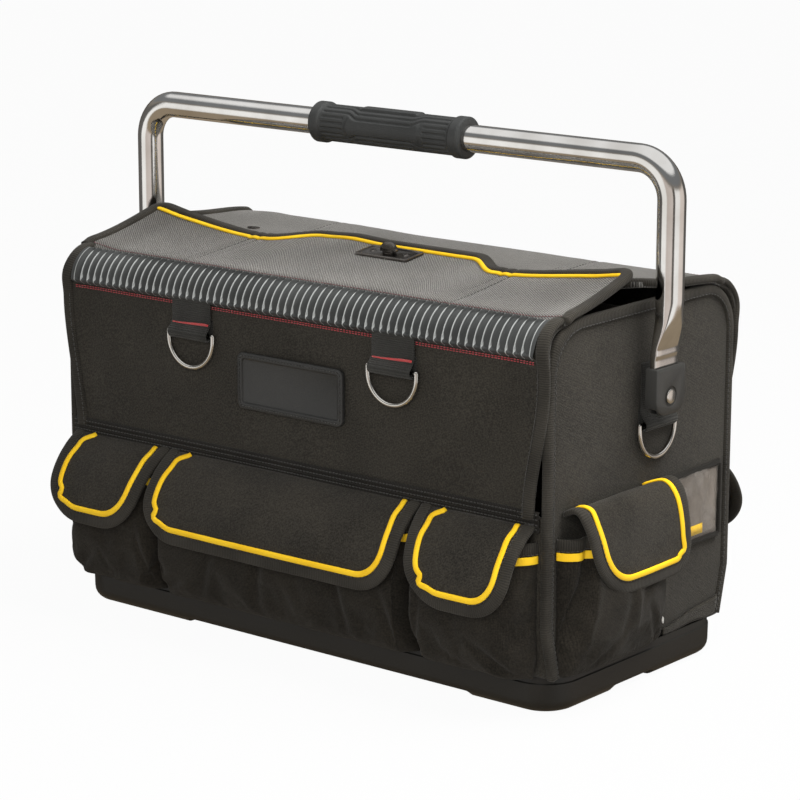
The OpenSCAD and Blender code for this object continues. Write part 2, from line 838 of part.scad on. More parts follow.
module front_lid_panel() {
    color(fabric) on_front_lid() difference() {
        lid_board(wing_u - piping_d - seam_gap, tab_u - piping_d - seam_gap);
        translate([lock_x, lock_u, -board_t - cut])
            cylinder(h = board_t + 2*cut, d = spindle_d + 2*run_gap, $fn = 32);
    }
}

module rear_lid_panel() {
    color(fabric) on_rear_lid() difference() {
        lid_board(rear_wing_u, rear_tab_u);
        translate([stud_x, stud_u, -board_t - cut])
            cylinder(h = board_t + 2*cut, d = stud_hole_d, $fn = 32);
    }
}

// Piping along the front lid's free edge, eight-sided with one flat on the board
function unit(v) = v/norm(v);
function edge_normal(line, i) =
    let (a = line[max(i - 1, 0)], b = line[min(i + 1, len(line) - 1)], t = unit(b - a))
    [t[1], -t[0]];
module edge_piping(line, d) {
    sides = 8;
    r = d/2/cos(180/sides);
    rings = [for (i = [0 : len(line) - 1])
        let (n = edge_normal(line, i))
        for (k = [0 : sides - 1])
            let (a = 360*(k + 0.5)/sides, out = seam_gap + d/2 + r*cos(a))
            [line[i][0] + n[0]*out, line[i][1] + n[1]*out, -d/2 + r*sin(a)]];
    last = (len(line) - 1)*sides;
    polyhedron(rings, concat(
        [[for (k = [0 : sides - 1]) k]],
        [for (i = [0 : len(line) - 2], k = [0 : sides - 1])
            let (n = (k + 1) % sides)
            [i*sides + k, (i + 1)*sides + k, (i + 1)*sides + n, i*sides + n]],
        [[for (k = [sides - 1 : -1 : 0]) last + k]]));
}
module front_lid_piping() {
    line = both_sides(edge_line(wing_u - piping_d - seam_gap, tab_u - piping_d - seam_gap));
    color(yellow) on_front_lid() edge_piping(line, piping_d);
}

// Lock plate with a raised rim, held by two screws
module lock_plate() {
    color(nickel) on_front_lid() translate([lock_x, lock_u, 0]) difference() {
        linear_extrude(lock_t + lock_rim_h) round_rect(lock_l, lock_w, lock_rim);
        translate([0, 0, lock_t]) linear_extrude(lock_rim_h + cut)
            round_rect(lock_l - 2*lock_rim, lock_w - 2*lock_rim, lock_rim/2);
        translate([0, 0, -cut]) cylinder(h = lock_t + 2*cut, d = spindle_d + 2*run_gap, $fn = 32);
    }
}
module lock_screws() {
    color(chrome) on_front_lid() for (x = [-1, 1])
        translate([lock_x + x*screw_x, lock_u, lock_t]) difference() {
            cylinder(h = screw_h, d1 = screw_d, d2 = screw_d*screw_top_share, $fn = 32);
            for (a = [0, 90]) rotate([0, 0, a])
                translate([-screw_d/4, -screw_slot/2, screw_h/2]) cube([screw_d/2, screw_slot, screw_h]);
        }
}

// Thumb-turn: half disc on a collar, spindle through the lid, cam below the keeper
module lock_knob() {
    drop = board_t + keeper_drop + keeper_t + cam_gap;
    color(nickel) on_front_lid() translate([lock_x, lock_u, 0]) {
        translate([0, 0, lock_t + run_gap]) {
            cylinder(h = collar_h, d = collar_d, $fn = 32);
            translate([0, knob_t/2, collar_h]) rotate([90, 0, 0]) intersection() {
                cylinder(h = knob_t, r = knob_r, $fn = 64);
                translate([-knob_r, 0, 0]) cube([2*knob_r, knob_r, knob_t]);
            }
        }
        translate([0, 0, -drop]) cylinder(h = drop + lock_t + collar_h/2, d = spindle_d, $fn = 32);
        translate([-cam_l/2, -cam_w/2, -drop - cam_t]) cube([cam_l, cam_w, cam_t]);
    }
}

// Keeper on the divider: a slotted plate parallel to the lid on a flange
module lock_keeper() {
    back_y = -divider_t/2;
    plate_z = -board_t - keeper_drop - keeper_t;
    color(nickel) {
        difference() {
            translate([lock_x - keeper_l/2, back_y - keeper_t, divider_h - keeper_foot])
                cube([keeper_l, keeper_t, keeper_foot + keeper_up_h]);
            for (x = [-1, 1])
                translate([lock_x + x*keeper_hole_x, back_y + cut, divider_h - keeper_foot/2])
                    rotate([90, 0, 0]) cylinder(h = keeper_t + 2*cut, d = keeper_hole_d, $fn = 32);
        }
        intersection() {
            on_front_lid() translate([lock_x, lock_u, plate_z]) linear_extrude(keeper_t)
                difference() {
                    translate([-keeper_l/2, -slot_w]) square([keeper_l, 3*slot_w]);
                    square([slot_l, slot_w], center = true);
                }
            translate([lock_x - keeper_l/2, -body_d/2, 0])
                cube([keeper_l, body_d/2 + back_y - keeper_t/2, 2*body_h]);
        }
    }
}

// Snap stud on the rear lid: a rim round a socket, capped on the underside
module press_stud() {
    color(nickel) on_rear_lid() translate([stud_x, stud_u, 0]) {
        difference() {
            cylinder(h = stud_h, d = stud_d, $fn = 32);
            translate([0, 0, stud_h/2]) cylinder(h = stud_h, d = stud_socket_d, $fn = 32);
        }
        translate([0, 0, -board_t]) cylinder(h = board_t, d = stud_hole_d, $fn = 32);
        translate([0, 0, -board_t - stud_h/2]) cylinder(h = stud_h/2, d = stud_d, $fn = 32);
    }
}

base_tray();
end_panel_left();
end_panel_right();
front_wall();
rear_wall();
centre_divider();
inner_pockets_front();
inner_pockets_rear();
lock_keeper();
front_pocket_left();
front_pocket_middle();
front_pocket_right();
rear_pocket_left();
rear_pocket_middle();
rear_pocket_right();
end_pocket_left();
end_pocket_right();
id_window_left();
id_window_right();
end_ring_tab_left();
end_ring_tab_right();
pivot_rivets();
handle_tube();
handle_grip();
handle_cap_left();
handle_cap_right();
front_cover_panel();
front_bumper();
front_ring_tab_left();
front_ring_tab_right();
front_badge();
front_lid_panel();
front_lid_piping();
lock_plate();
lock_screws();
lock_knob();
rear_cover_panel();
rear_bumper();
rear_ring_tab_left();
rear_ring_tab_right();
rear_lid_panel();
press_stud();
front_flap_left();
front_flap_middle();
front_flap_right();
rear_flap_left();
rear_flap_middle();
rear_flap_right();
end_flap_left();
end_flap_right();
front_ring_left();
front_ring_right();
rear_ring_left();
rear_ring_right();
end_ring_left();
end_ring_right();
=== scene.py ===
"""Double-sided tool bag: fabric over board on a moulded tray, with a chromed tube handle.

Metres. X runs along the bag, the front is at -Y, Z is up from the feet.
"""
import math

import bmesh
import bpy
import numpy as np
from mathutils import Matrix, Vector


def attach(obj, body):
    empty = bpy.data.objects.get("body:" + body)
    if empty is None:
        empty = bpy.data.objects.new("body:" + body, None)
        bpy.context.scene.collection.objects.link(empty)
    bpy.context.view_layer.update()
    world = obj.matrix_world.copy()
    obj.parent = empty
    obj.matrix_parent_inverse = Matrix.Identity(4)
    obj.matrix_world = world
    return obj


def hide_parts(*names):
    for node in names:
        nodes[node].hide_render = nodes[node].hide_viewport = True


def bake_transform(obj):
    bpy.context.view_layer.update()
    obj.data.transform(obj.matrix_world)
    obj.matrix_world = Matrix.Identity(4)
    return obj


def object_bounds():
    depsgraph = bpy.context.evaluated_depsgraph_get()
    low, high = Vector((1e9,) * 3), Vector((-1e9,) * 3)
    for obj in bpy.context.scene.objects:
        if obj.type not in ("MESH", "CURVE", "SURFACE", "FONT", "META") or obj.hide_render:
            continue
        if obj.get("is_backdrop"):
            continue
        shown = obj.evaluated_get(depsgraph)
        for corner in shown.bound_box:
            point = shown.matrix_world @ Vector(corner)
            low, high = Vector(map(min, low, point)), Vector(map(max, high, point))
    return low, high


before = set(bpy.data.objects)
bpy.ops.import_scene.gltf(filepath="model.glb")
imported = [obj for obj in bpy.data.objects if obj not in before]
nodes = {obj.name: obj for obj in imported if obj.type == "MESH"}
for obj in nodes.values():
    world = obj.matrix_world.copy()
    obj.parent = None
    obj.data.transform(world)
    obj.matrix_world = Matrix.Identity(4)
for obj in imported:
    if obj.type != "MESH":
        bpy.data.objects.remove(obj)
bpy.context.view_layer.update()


# Camera: a long lens a little above the bag, looking at its front and its right end.
view_azimuth = math.radians(39.196)
view_elevation = math.radians(13.182)
view_roll = math.radians(-0.098)
view_distance = 2.4087
view_target_z = 0.19014
view_shift_right = 0.00604
lens_px = 2926.8
frame_px = 800
sensor_mm = 36
view_back = Vector((
    math.sin(view_azimuth) * math.cos(view_elevation),
    -math.cos(view_azimuth) * math.cos(view_elevation),
    math.sin(view_elevation),
))
view_right = (-view_back).cross(Vector((0, 0, 1))).normalized()
view_target = Vector((0, 0, view_target_z)) + view_right * view_shift_right
bpy.ops.object.camera_add(location=view_target + view_back * view_distance)
camera = bpy.context.object
camera.name = "camera"
camera.rotation_mode = "QUATERNION"
look = (-view_back).to_track_quat("-Z", "Y")
camera.rotation_quaternion = look
camera.rotation_mode = "XYZ"
camera.rotation_euler.rotate_axis("Z", -view_roll)
camera.data.sensor_width = sensor_mm
camera.data.lens = lens_px * sensor_mm / frame_px
camera.data.clip_end = 30
bpy.context.scene.camera = camera


# Shader sockets as Python values. Adding or multiplying them adds the Math nodes.
class Socket:
    def __init__(self, tree, out):
        self.tree = tree
        self.out = out

    def make(self, kind, settings=None, out=0, **inputs):
        """Adds a node: its settings are set first, then the sockets, named or by number."""
        made = self.tree.nodes.new(kind)
        for key, value in (settings or {}).items():
            if key == "stops":
                ramp = made.color_ramp.elements
                ramp.remove(ramp[1])
                ramp[0].position = value[0][0]
                ramp[0].color = (*value[0][1], 1)
                for place, colour in value[1:]:
                    ramp.new(place).color = (*colour, 1)
            else:
                setattr(made, key, value)
        for key, value in inputs.items():
            index = int(key[1:]) if key[0] == "i" and key[1:].isdigit() else key.replace("_", " ")
            socket = made.inputs[index]
            if isinstance(value, Socket):
                self.tree.links.new(value.out, socket)
            elif hasattr(value, "__len__") and len(value) == 3 and socket.type == "RGBA":
                socket.default_value = (*value, 1)
            else:
                socket.default_value = value
        return Socket(self.tree, made.outputs[out])

    def math(self, operation, *values):
        inputs = {"i%d" % i: v for i, v in enumerate(values)}
        return self.make("ShaderNodeMath", {"operation": operation}, **inputs)

    def __add__(self, other):
        return self.math("ADD", self, other)

    def __mul__(self, other):
        return self.math("MULTIPLY", self, other)

    def __sub__(self, other):
        return self.math("SUBTRACT", self, other)

    def __rsub__(self, other):
        return self.math("SUBTRACT", other, self)

    def __truediv__(self, other):
        return self.math("DIVIDE", self, other)

    def clamp(self, low, high):
        return self.make("ShaderNodeClamp", Value=self, Min=low, Max=high)

    def ramp(self, low, high):
        """0 below low, 1 above high and smooth between."""
        return self.make("ShaderNodeMapRange", {"interpolation_type": "SMOOTHSTEP"},
                         Value=self, From_Min=low, From_Max=high)

    def mix(self, a, b):
        """Colour a where this value is 0 and b where it is 1."""
        return self.make("ShaderNodeMix", {"data_type": "RGBA"}, out=2, i0=self, i6=a, i7=b)


# Stage: a pale floor, a white surround and soft lamps. None of it is part of the bag.
def new_material(name):
    """Returns a material and its tree, empty but for the output."""
    made = bpy.data.materials.new(name)
    made.use_nodes = True
    made.node_tree.nodes.clear()
    return made, Socket(made.node_tree, None)


def finish_material(made, shader, roughness=0.5, metallic=0.0, colour=(0.5, 0.5, 0.5),
                    bump=None, bump_distance=0.001, bump_strength=1.0, **extra):
    """Adds the surface shader and the output. Bump is a height, in units of bump_distance."""
    inputs = {"Base_Color": colour, "Roughness": roughness, "Metallic": metallic}
    inputs.update(extra)
    if bump is not None:
        inputs["Normal"] = shader.make("ShaderNodeBump", Strength=bump_strength,
                                       Distance=bump_distance, Height=bump)
    surface = shader.make("ShaderNodeBsdfPrincipled", **inputs)
    output = shader.tree.nodes.new("ShaderNodeOutputMaterial")
    shader.tree.links.new(surface.out, output.inputs["Surface"])
    return made


floor_material, shader = new_material("floor_white")
is_camera = shader.make("ShaderNodeLightPath")
is_glossy = Socket(shader.tree, is_camera.out.node.outputs["Is Glossy Ray"])
paint = shader.make("ShaderNodeBsdfDiffuse", Color=(0.50, 0.50, 0.49))
glow = shader.make("ShaderNodeEmission", Color=(1, 1, 1), Strength=1.0)
mixed = shader.make("ShaderNodeMixShader", i0=is_camera * 0.96, i1=paint, i2=glow)
mixed = shader.make("ShaderNodeMixShader", i0=is_glossy, i1=mixed,
                    i2=shader.make("ShaderNodeBsdfTransparent", Color=(1, 1, 1)))
output = floor_material.node_tree.nodes.new("ShaderNodeOutputMaterial")
floor_material.node_tree.links.new(mixed.out, output.inputs["Surface"])
bpy.ops.mesh.primitive_circle_add(vertices=64, radius=6, fill_type="NGON", location=(0, 0, 0))
floor = bpy.context.object
floor.name = "floor"
floor.data.materials.append(floor_material)
floor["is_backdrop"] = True

world = bpy.data.worlds.new("studio")
bpy.context.scene.world = world
world.use_nodes = True
world.node_tree.nodes.clear()
shader = Socket(world.node_tree, None)
path = world.node_tree.nodes.new("ShaderNodeLightPath")
shown = Socket(world.node_tree, path.outputs["Is Camera Ray"])
clear = Socket(world.node_tree, path.outputs["Is Transmission Ray"])
glossy = Socket(world.node_tree, path.outputs["Is Glossy Ray"])
direction = shader.make("ShaderNodeTexCoord")
height = shader.make("ShaderNodeSeparateXYZ", out=2, Vector=direction)
dome = height.ramp(0.15, 0.75)
room = dome.mix((0.45, 0.45, 0.44), (0.34, 0.34, 0.34))
east = shader.make("ShaderNodeSeparateXYZ", out=0, Vector=direction)
north = shader.make("ShaderNodeSeparateXYZ", out=1, Vector=direction)
rightward = east * view_right.x + north * view_right.y
toward = (east * view_back.x + north * view_back.y) / math.cos(view_elevation)
turned = rightward.math("ARCTAN2", rightward, toward) / (2 * math.pi) + 0.5
stops = [(0.0, (0.10, 0.09, 0.08)), (0.25, (0.13, 0.125, 0.12)), (0.265, (0.98, 0.97, 0.95)),
         (0.365, (0.96, 0.95, 0.93)), (0.385, (0.60, 0.53, 0.49)), (0.508, (0.68, 0.61, 0.57)),
         (0.520, (0.12, 0.11, 0.10)), (0.552, (0.12, 0.11, 0.10)), (0.568, (0.97, 0.96, 0.95)),
         (0.66, (0.96, 0.95, 0.93)), (0.685, (0.80, 0.72, 0.67)), (0.79, (0.76, 0.68, 0.63)),
         (0.815, (0.12, 0.115, 0.11)), (1.0, (0.10, 0.09, 0.08))]
walls = shader.make("ShaderNodeValToRGB", {"stops": stops}, Fac=turned)
band = height.ramp(-0.42, -0.30) - height.ramp(0.17, 0.33)
low_room = band.mix((0.30, 0.24, 0.17), walls)
high_room = height.ramp(0.60, 0.72).mix((0.19, 0.195, 0.20), (0.88, 0.88, 0.88))
mirror_room = height.ramp(0.14, 0.42).mix(low_room, high_room)
seen = glossy.mix(room, mirror_room)
seen = shown.math("MAXIMUM", shown, clear).mix(seen, (1, 1, 1))
background = shader.make("ShaderNodeBackground", Color=seen, Strength=1.0)
output = world.node_tree.nodes.new("ShaderNodeOutputWorld")
world.node_tree.links.new(background.out, output.inputs["Surface"])


def soft_lamp(name, place, size, watts, aim=(0, 0, 0.2)):
    """Square lamp at place, turned to aim."""
    bpy.ops.object.light_add(type="AREA", location=place)
    lamp = bpy.context.object
    lamp.name = name
    lamp.data.shape = "RECTANGLE"
    lamp.data.size, lamp.data.size_y = size
    lamp.data.energy = watts
    toward = Vector(aim) - Vector(place)
    lamp.rotation_euler = toward.to_track_quat("-Z", "Y").to_euler()
    lamp.visible_glossy = False
    return lamp


soft_lamp("overhead", (0.75, 0.25, 1.5), (1.1, 1.0), 38)
soft_lamp("front", (0.65, -1.05, 0.65), (0.6, 0.5), 7)
bpy.context.scene.view_settings.view_transform = "Standard"


# Materials, and helpers that shape and hang the hard pieces.
class Paint(Socket):
    """Shader sockets of one material, with the inputs that its patterns read."""

    def __init__(self, name):
        self.material, start = new_material(name)
        super().__init__(start.tree, None)

    def place(self, axis=None):
        """Object coordinates in metres, or one of them."""
        whole = self.make("ShaderNodeTexCoord", out=3)
        if axis is None:
            return whole
        return self.make("ShaderNodeSeparateXYZ", out=axis, Vector=whole)

    def along(self, axis):
        """Distance over the cloth in metres: 0 is along a tape or across a sheet."""
        whole = self.make("ShaderNodeUVMap", {"uv_map": "UVMap"})
        return self.make("ShaderNodeSeparateXYZ", out=axis, Vector=whole)

    def noise(self, scale, detail=2.0, source=None):
        """Noise with scale features to the metre."""
        return self.make("ShaderNodeTexNoise", Vector=source or self.place(),
                         Scale=scale, Detail=detail)

    def finish(self, **values):
        return finish_material(self.material, self, **values)


def moulded(name, dark, light, roughness, grain=900.0, coat=0.0, bump=0.00012):
    """Moulded plastic or rubber: fine grain, slow tone changes and uneven gloss."""
    paint = Paint(name)
    fine = paint.noise(grain, 2.0)
    slow = paint.noise(14.0, 3.0)
    tone = (fine * 0.35 + slow * 0.65).ramp(0.35, 0.7)
    gloss = (slow * 0.22 + fine * 0.12 + (roughness - 0.17)).clamp(0.05, 1.0)
    return paint.finish(colour=tone.mix(dark, light), roughness=gloss, bump=fine,
                        bump_distance=bump, Coat_Weight=coat, Coat_Roughness=0.25)


def fit(piece, body, slot, *replaced):
    """Hangs a finished piece on its body and hides the solids that it stands for."""
    bpy.context.view_layer.update()
    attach(piece, body)
    if replaced:
        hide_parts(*replaced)
    return piece


def pick(piece):
    """Selects one piece alone, because an operator acts on all that is selected."""
    bpy.ops.object.select_all(action="DESELECT")
    piece.select_set(True)
    bpy.context.view_layer.objects.active = piece


def add_modifier(piece, kind, **settings):
    """Adds a modifier and applies it."""
    pick(piece)
    made = piece.modifiers.new(kind.lower(), kind)
    for key, value in settings.items():
        setattr(made, key, value)
    bpy.ops.object.modifier_apply(modifier=made.name)
    return piece


def new_piece(name, mesh):
    """Object in the scene that owns this mesh."""
    piece = bpy.data.objects.new(name, mesh)
    bpy.context.scene.collection.objects.link(piece)
    return piece


def rework(piece, change):
    """Applies a change to the whole mesh of a piece."""
    mesh = bmesh.new()
    mesh.from_mesh(piece.data)
    change(mesh)
    mesh.to_mesh(piece.data)
    mesh.free()


def faces_outward(piece):
    rework(piece, lambda mesh: bmesh.ops.recalc_face_normals(mesh, faces=mesh.faces))


def merge_points(piece, distance):
    rework(piece, lambda mesh: bmesh.ops.remove_doubles(mesh, verts=mesh.verts, dist=distance))


def dress(piece, material):
    """Sets the one material of a piece."""
    piece.data.materials.clear()
    piece.data.materials.append(material)


def round_edges(piece, width, segments, angle, shading):
    """Bevels the edges sharper than angle and smooths those under the shading angle."""
    add_modifier(piece, "BEVEL", width=width, segments=segments, limit_method="ANGLE",
                 angle_limit=math.radians(angle), use_clamp_overlap=True)
    pick(piece)
    bpy.ops.object.shade_smooth_by_angle(angle=math.radians(shading))


def softened(node, name, width, segments=2, angle=35):
    """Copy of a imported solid, merged and with its edges rounded."""
    def join_flats(mesh):
        bmesh.ops.remove_doubles(mesh, verts=mesh.verts, dist=0.00002)
        bmesh.ops.dissolve_limit(mesh, angle_limit=math.radians(1), verts=mesh.verts, edges=mesh.edges)

    piece = new_piece(name, nodes[node].data.copy())
    rework(piece, join_flats)
    for attribute in ("custom_normal", "sharp_edge", "sharp_face"):
        if attribute in piece.data.attributes:
            piece.data.attributes.remove(piece.data.attributes[attribute])
    round_edges(piece, width, segments, angle, 40)
    piece.data.materials.clear()
    return piece


def select_part(kind, test):
    """Selects faces or edges of the mesh in edit mode by their middle and direction."""
    bpy.ops.mesh.select_all(action="DESELECT")
    bpy.context.tool_settings.mesh_select_mode = (False, kind == "edges", kind == "faces")
    mesh = bmesh.from_edit_mesh(bpy.context.object.data)
    mesh.normal_update()
    for part in getattr(mesh, kind):
        middle = sum((v.co for v in part.verts), Vector()) / len(part.verts)
        if kind == "faces":
            toward = part.normal
        else:
            toward = (part.verts[1].co - part.verts[0].co).normalized()
        if test(middle * 1000.0, toward):
            part.select_set(True)
    mesh.select_flush_mode()
    bmesh.update_edit_mesh(bpy.context.object.data)


def start_box(name, low, high):
    """A cube from low to high in millimetres, open in edit mode with its place in its mesh."""
    low, high = Vector(low) * 0.001, Vector(high) * 0.001
    bpy.ops.object.select_all(action="DESELECT")
    bpy.ops.mesh.primitive_cube_add(size=1.0, location=(low + high) / 2, scale=high - low)
    piece = bpy.context.object
    piece.name = name
    bpy.ops.object.transform_apply(location=True, rotation=True, scale=True)
    bpy.ops.object.mode_set(mode="EDIT")
    return piece


def cut_at(place, normal):
    """Cuts every face of the mesh in edit mode with a plane, in millimetres."""
    bpy.ops.mesh.select_all(action="SELECT")
    bpy.ops.mesh.bisect(plane_co=Vector(place) * 0.001, plane_no=normal)


def boolean(piece, other, operation="DIFFERENCE"):
    """Joins, cuts or crosses a piece with another solid, which is then removed."""
    add_modifier(piece, "BOOLEAN", operation=operation, object=other, solver="EXACT")
    bpy.data.objects.remove(other)
    return piece


def finish_hard(piece, material, width, segments=2, angle=35):
    """Rounds the edges, shades the flats flat and sets the material."""
    round_edges(piece, width, segments, angle, 38)
    dress(piece, material)
    return piece


# Base tray: one moulding in black plastic with a bead round its rim, a groove below the
# bead, a well-rounded bottom edge and shallow feet. The fabric walls are sewn down inside it.
tray_x = 251.5
tray_y = 116.0
tray_top = 30.0
tray_plastic = moulded("tray_plastic", (0.0075, 0.0070, 0.0056), (0.0125, 0.0116, 0.0094), 0.50,
                       bump=0.00007)
tray = start_box("tray", (-tray_x, -tray_y, 0), (tray_x, tray_y, tray_top))
select_part("edges", lambda middle, toward: abs(toward.z) > 0.9)
bpy.ops.mesh.bevel(offset=0.030, segments=14, affect="EDGES")
select_part("edges", lambda middle, toward: middle.z < 0.1 and abs(toward.z) < 0.1)
bpy.ops.mesh.bevel(offset=0.0105, segments=6, affect="EDGES")
select_part("faces", lambda middle, toward: toward.z > 0.9)
bpy.ops.mesh.inset(thickness=0.0025)
bpy.ops.mesh.extrude_region_move(TRANSFORM_OT_translate={"value": (0, 0, -0.0215)})
for level in (24.7, 23.9, 23.1):
    cut_at((0, 0, level), (0, 0, 1))


def outside(middle):
    """True on the outer wall, false on the hollow side."""
    return max(abs(middle.x) - tray_x, abs(middle.y) - tray_y) > -2.0 or (
        math.hypot(max(abs(middle.x) - tray_x + 30, 0), max(abs(middle.y) - tray_y + 30, 0)) > 28.5)


for foot, head, inwards in ((24.8, 29.9, -0.0008), (23.2, 23.8, 0.0002)):
    select_part("faces", lambda middle, toward: foot < middle.z < head and abs(toward.z) < 0.1
                and outside(middle))
    bpy.ops.transform.shrink_fatten(value=inwards)
bpy.ops.object.mode_set(mode="OBJECT")
for low, high in (((-130, -140, -20), (171, 10, 5.0)), ((-171, -10, -20), (130, 140, 5.0)),
                  ((0, -36, -20), (270, 21, 6.3)), ((-270, -21, -20), (0, 36, 6.3))):
    cutter = start_box("recess", low, high)
    select_part("edges", lambda middle, toward: middle.z > 4.0)
    bpy.ops.mesh.bevel(offset=0.0042, segments=4, affect="EDGES")
    bpy.ops.object.mode_set(mode="OBJECT")
    boolean(tray, cutter)
finish_hard(tray, tray_plastic, 0.0006)
fit(tray, "bag", "tray_plastic", "base_tray")


# Cloth: fabric finishes, and helpers that lay sheets, tapes and stitches along lines.
# Points are in millimetres until a mesh is made.
def woven(name, dark, light, thread=1.25, twill=0.0, roughness=0.75, sheen=0.25,
          bump=0.00034, mottle=0.5, contrast=0.55):
    """Woven nylon on the cloth's own map: plain weave, with diagonal ribs where twill says."""
    paint = Paint(name)
    across = paint.along(0) * (1000.0 / thread)
    down = paint.along(1) * (1000.0 / thread)
    warp = paint.math("ABSOLUTE", paint.math("SINE", across * math.pi))
    weft = paint.math("ABSOLUTE", paint.math("SINE", down * math.pi))
    if twill:
        over = paint.math("SINE", (across - down) * (math.pi / 2)) * 0.5 + 0.5
    else:
        over = (paint.math("SINE", across * math.pi) * paint.math("SINE", down * math.pi)) * 0.5 + 0.5
    height = (warp * over + weft * (1.0 - over)) * (1.0 - twill) + over * twill
    fibre = paint.noise(1400.0, 1.0)
    fleck = paint.noise(760.0, 2.0).ramp(0.32, 0.68)
    slow = paint.noise(22.0, 3.0).ramp(0.3, 0.7)
    tone = (height * contrast + fleck * (0.98 - contrast) + fibre * 0.22 + slow * (0.3 * mottle)
            - 0.2 - 0.12 * contrast).clamp(0.0, 1.0)
    paint.finish(colour=tone.mix(dark, light), roughness=(slow * 0.12 + roughness).clamp(0.0, 1.0),
                 bump=height + fibre * 0.4, bump_distance=bump,
                 Sheen_Weight=sheen, Sheen_Roughness=0.4, Sheen_Tint=(0.9, 0.88, 0.84),
                 Specular_IOR_Level=0.3)
    return paint.material


def ribbed_tape(name, dark, light, rib=1.5, roughness=0.7, sheen=0.3, bump=0.00035, mottle=0.3):
    """Woven tape or webbing with ribs across it, on the map that runs along the tape."""
    paint = Paint(name)
    ribs = paint.math("ABSOLUTE", paint.math("SINE", paint.along(0) * (1000.0 * math.pi / rib)))
    threads = paint.math("ABSOLUTE", paint.math("SINE", paint.along(1) * (1000.0 * math.pi / 1.1)))
    height = ribs * 0.7 + threads * 0.3
    fibre = paint.noise(1500.0, 1.0)
    slow = paint.noise(25.0, 2.0).ramp(0.3, 0.7)
    tone = (height * 0.6 + fibre * 0.3 + slow * mottle - 0.1).clamp(0.0, 1.0)
    paint.finish(colour=tone.mix(dark, light), roughness=roughness, bump=height + fibre * 0.3,
                 bump_distance=bump, Sheen_Weight=sheen, Sheen_Roughness=0.4,
                 Sheen_Tint=(0.9, 0.88, 0.84), Specular_IOR_Level=0.3)
    return paint.material


def ease(t):
    """0 to 1 with soft ends."""
    t = np.clip(t, 0.0, 1.0)
    return t * t * (3 - 2 * t)


def run_length(points):
    """Distance along a line of points, in millimetres."""
    steps = np.linalg.norm(np.diff(points, axis=0), axis=1)
    return np.concatenate([[0.0], np.cumsum(steps)])


def spaced(points, step):
    """The same line with a point about every step millimetres."""
    points = np.asarray(points, float)
    length = run_length(points)
    count = max(int(round(length[-1] / step)), 2) + 1
    at = np.linspace(0, length[-1], count)
    return np.stack([np.interp(at, length, points[:, k]) for k in range(points.shape[1])], axis=1)


def curved(points, step):
    """A smooth line through the points, with a point about every step millimetres."""
    points = np.asarray(points, float)
    padded = np.vstack([2 * points[0] - points[1], points, 2 * points[-1] - points[-2]])
    pieces = []
    for i in range(1, len(padded) - 2):
        a, b, c, d = padded[i - 1:i + 3]
        t = np.linspace(0, 1, 16, endpoint=False)[:, None]
        pieces.append(b + 0.5 * t * (c - a + t * (2 * a - 5 * b + 4 * c - d
                                                  + t * (3 * (b - c) + d - a))))
    return spaced(np.vstack(pieces + [padded[-2:-1]]), step)


def grid_mesh(name, points, across, down, wrap=False, closed=False, caps=False):
    """Mesh over rows and columns of points, with a map in metres over the cloth."""
    rows, columns = points.shape[:2]
    faces = []
    corners = []
    for r in range(rows if closed else rows - 1):
        below = (r + 1) % rows
        for c in range(columns if wrap else columns - 1):
            beside = (c + 1) % columns
            faces.append((r * columns + c, r * columns + beside,
                          below * columns + beside, below * columns + c))
            corners += [(r, c), (r, c + 1), (r + 1, c + 1), (r + 1, c)]
    if caps:
        faces.append(tuple(range(columns))[::-1])
        faces.append(tuple((rows - 1) * columns + c for c in range(columns)))
        corners += [(0, c) for c in range(columns)][::-1]
        corners += [(rows - 1, c) for c in range(columns)]
    mesh = bpy.data.meshes.new(name)
    mesh.from_pydata((points.reshape(-1, 3) * 0.001).tolist(), [], faces)
    index = np.array(corners)
    values = np.stack([across[index[:, 0] % len(across), index[:, 1]],
                       down[index[:, 0], index[:, 1] % down.shape[1]]], axis=1) * 0.001
    mesh.uv_layers.new(name="UVMap").data.foreach_set("uv", values.astype(np.float32).ravel())
    mesh.polygons.foreach_set("use_smooth", [True] * len(faces))
    return new_piece(name, mesh)


def sheet(name, points, outward, thickness, material):
    """Cloth over a grid of points, which are its outer face, with thickness behind it."""
    points = np.asarray(points, float)
    rows, columns = points.shape[:2]
    middle = run_length(points[rows // 2])
    side = run_length(points[:, columns // 2])
    across = np.broadcast_to(middle - middle[-1] / 2, (rows, columns))
    down = np.broadcast_to(side[:, None], (rows, columns))
    piece = grid_mesh(name, points, across, down)
    bpy.context.view_layer.update()
    face = piece.data.polygons[len(piece.data.polygons) // 2 + (columns - 1) // 2]
    if face.normal.dot(Vector(outward)) < 0:
        piece.data.flip_normals()
    piece.data.materials.append(material)
    if thickness:
        add_modifier(piece, "SOLIDIFY", thickness=thickness * 0.001, offset=-1,
                     use_even_offset=True, use_quality_normals=True)
    return piece


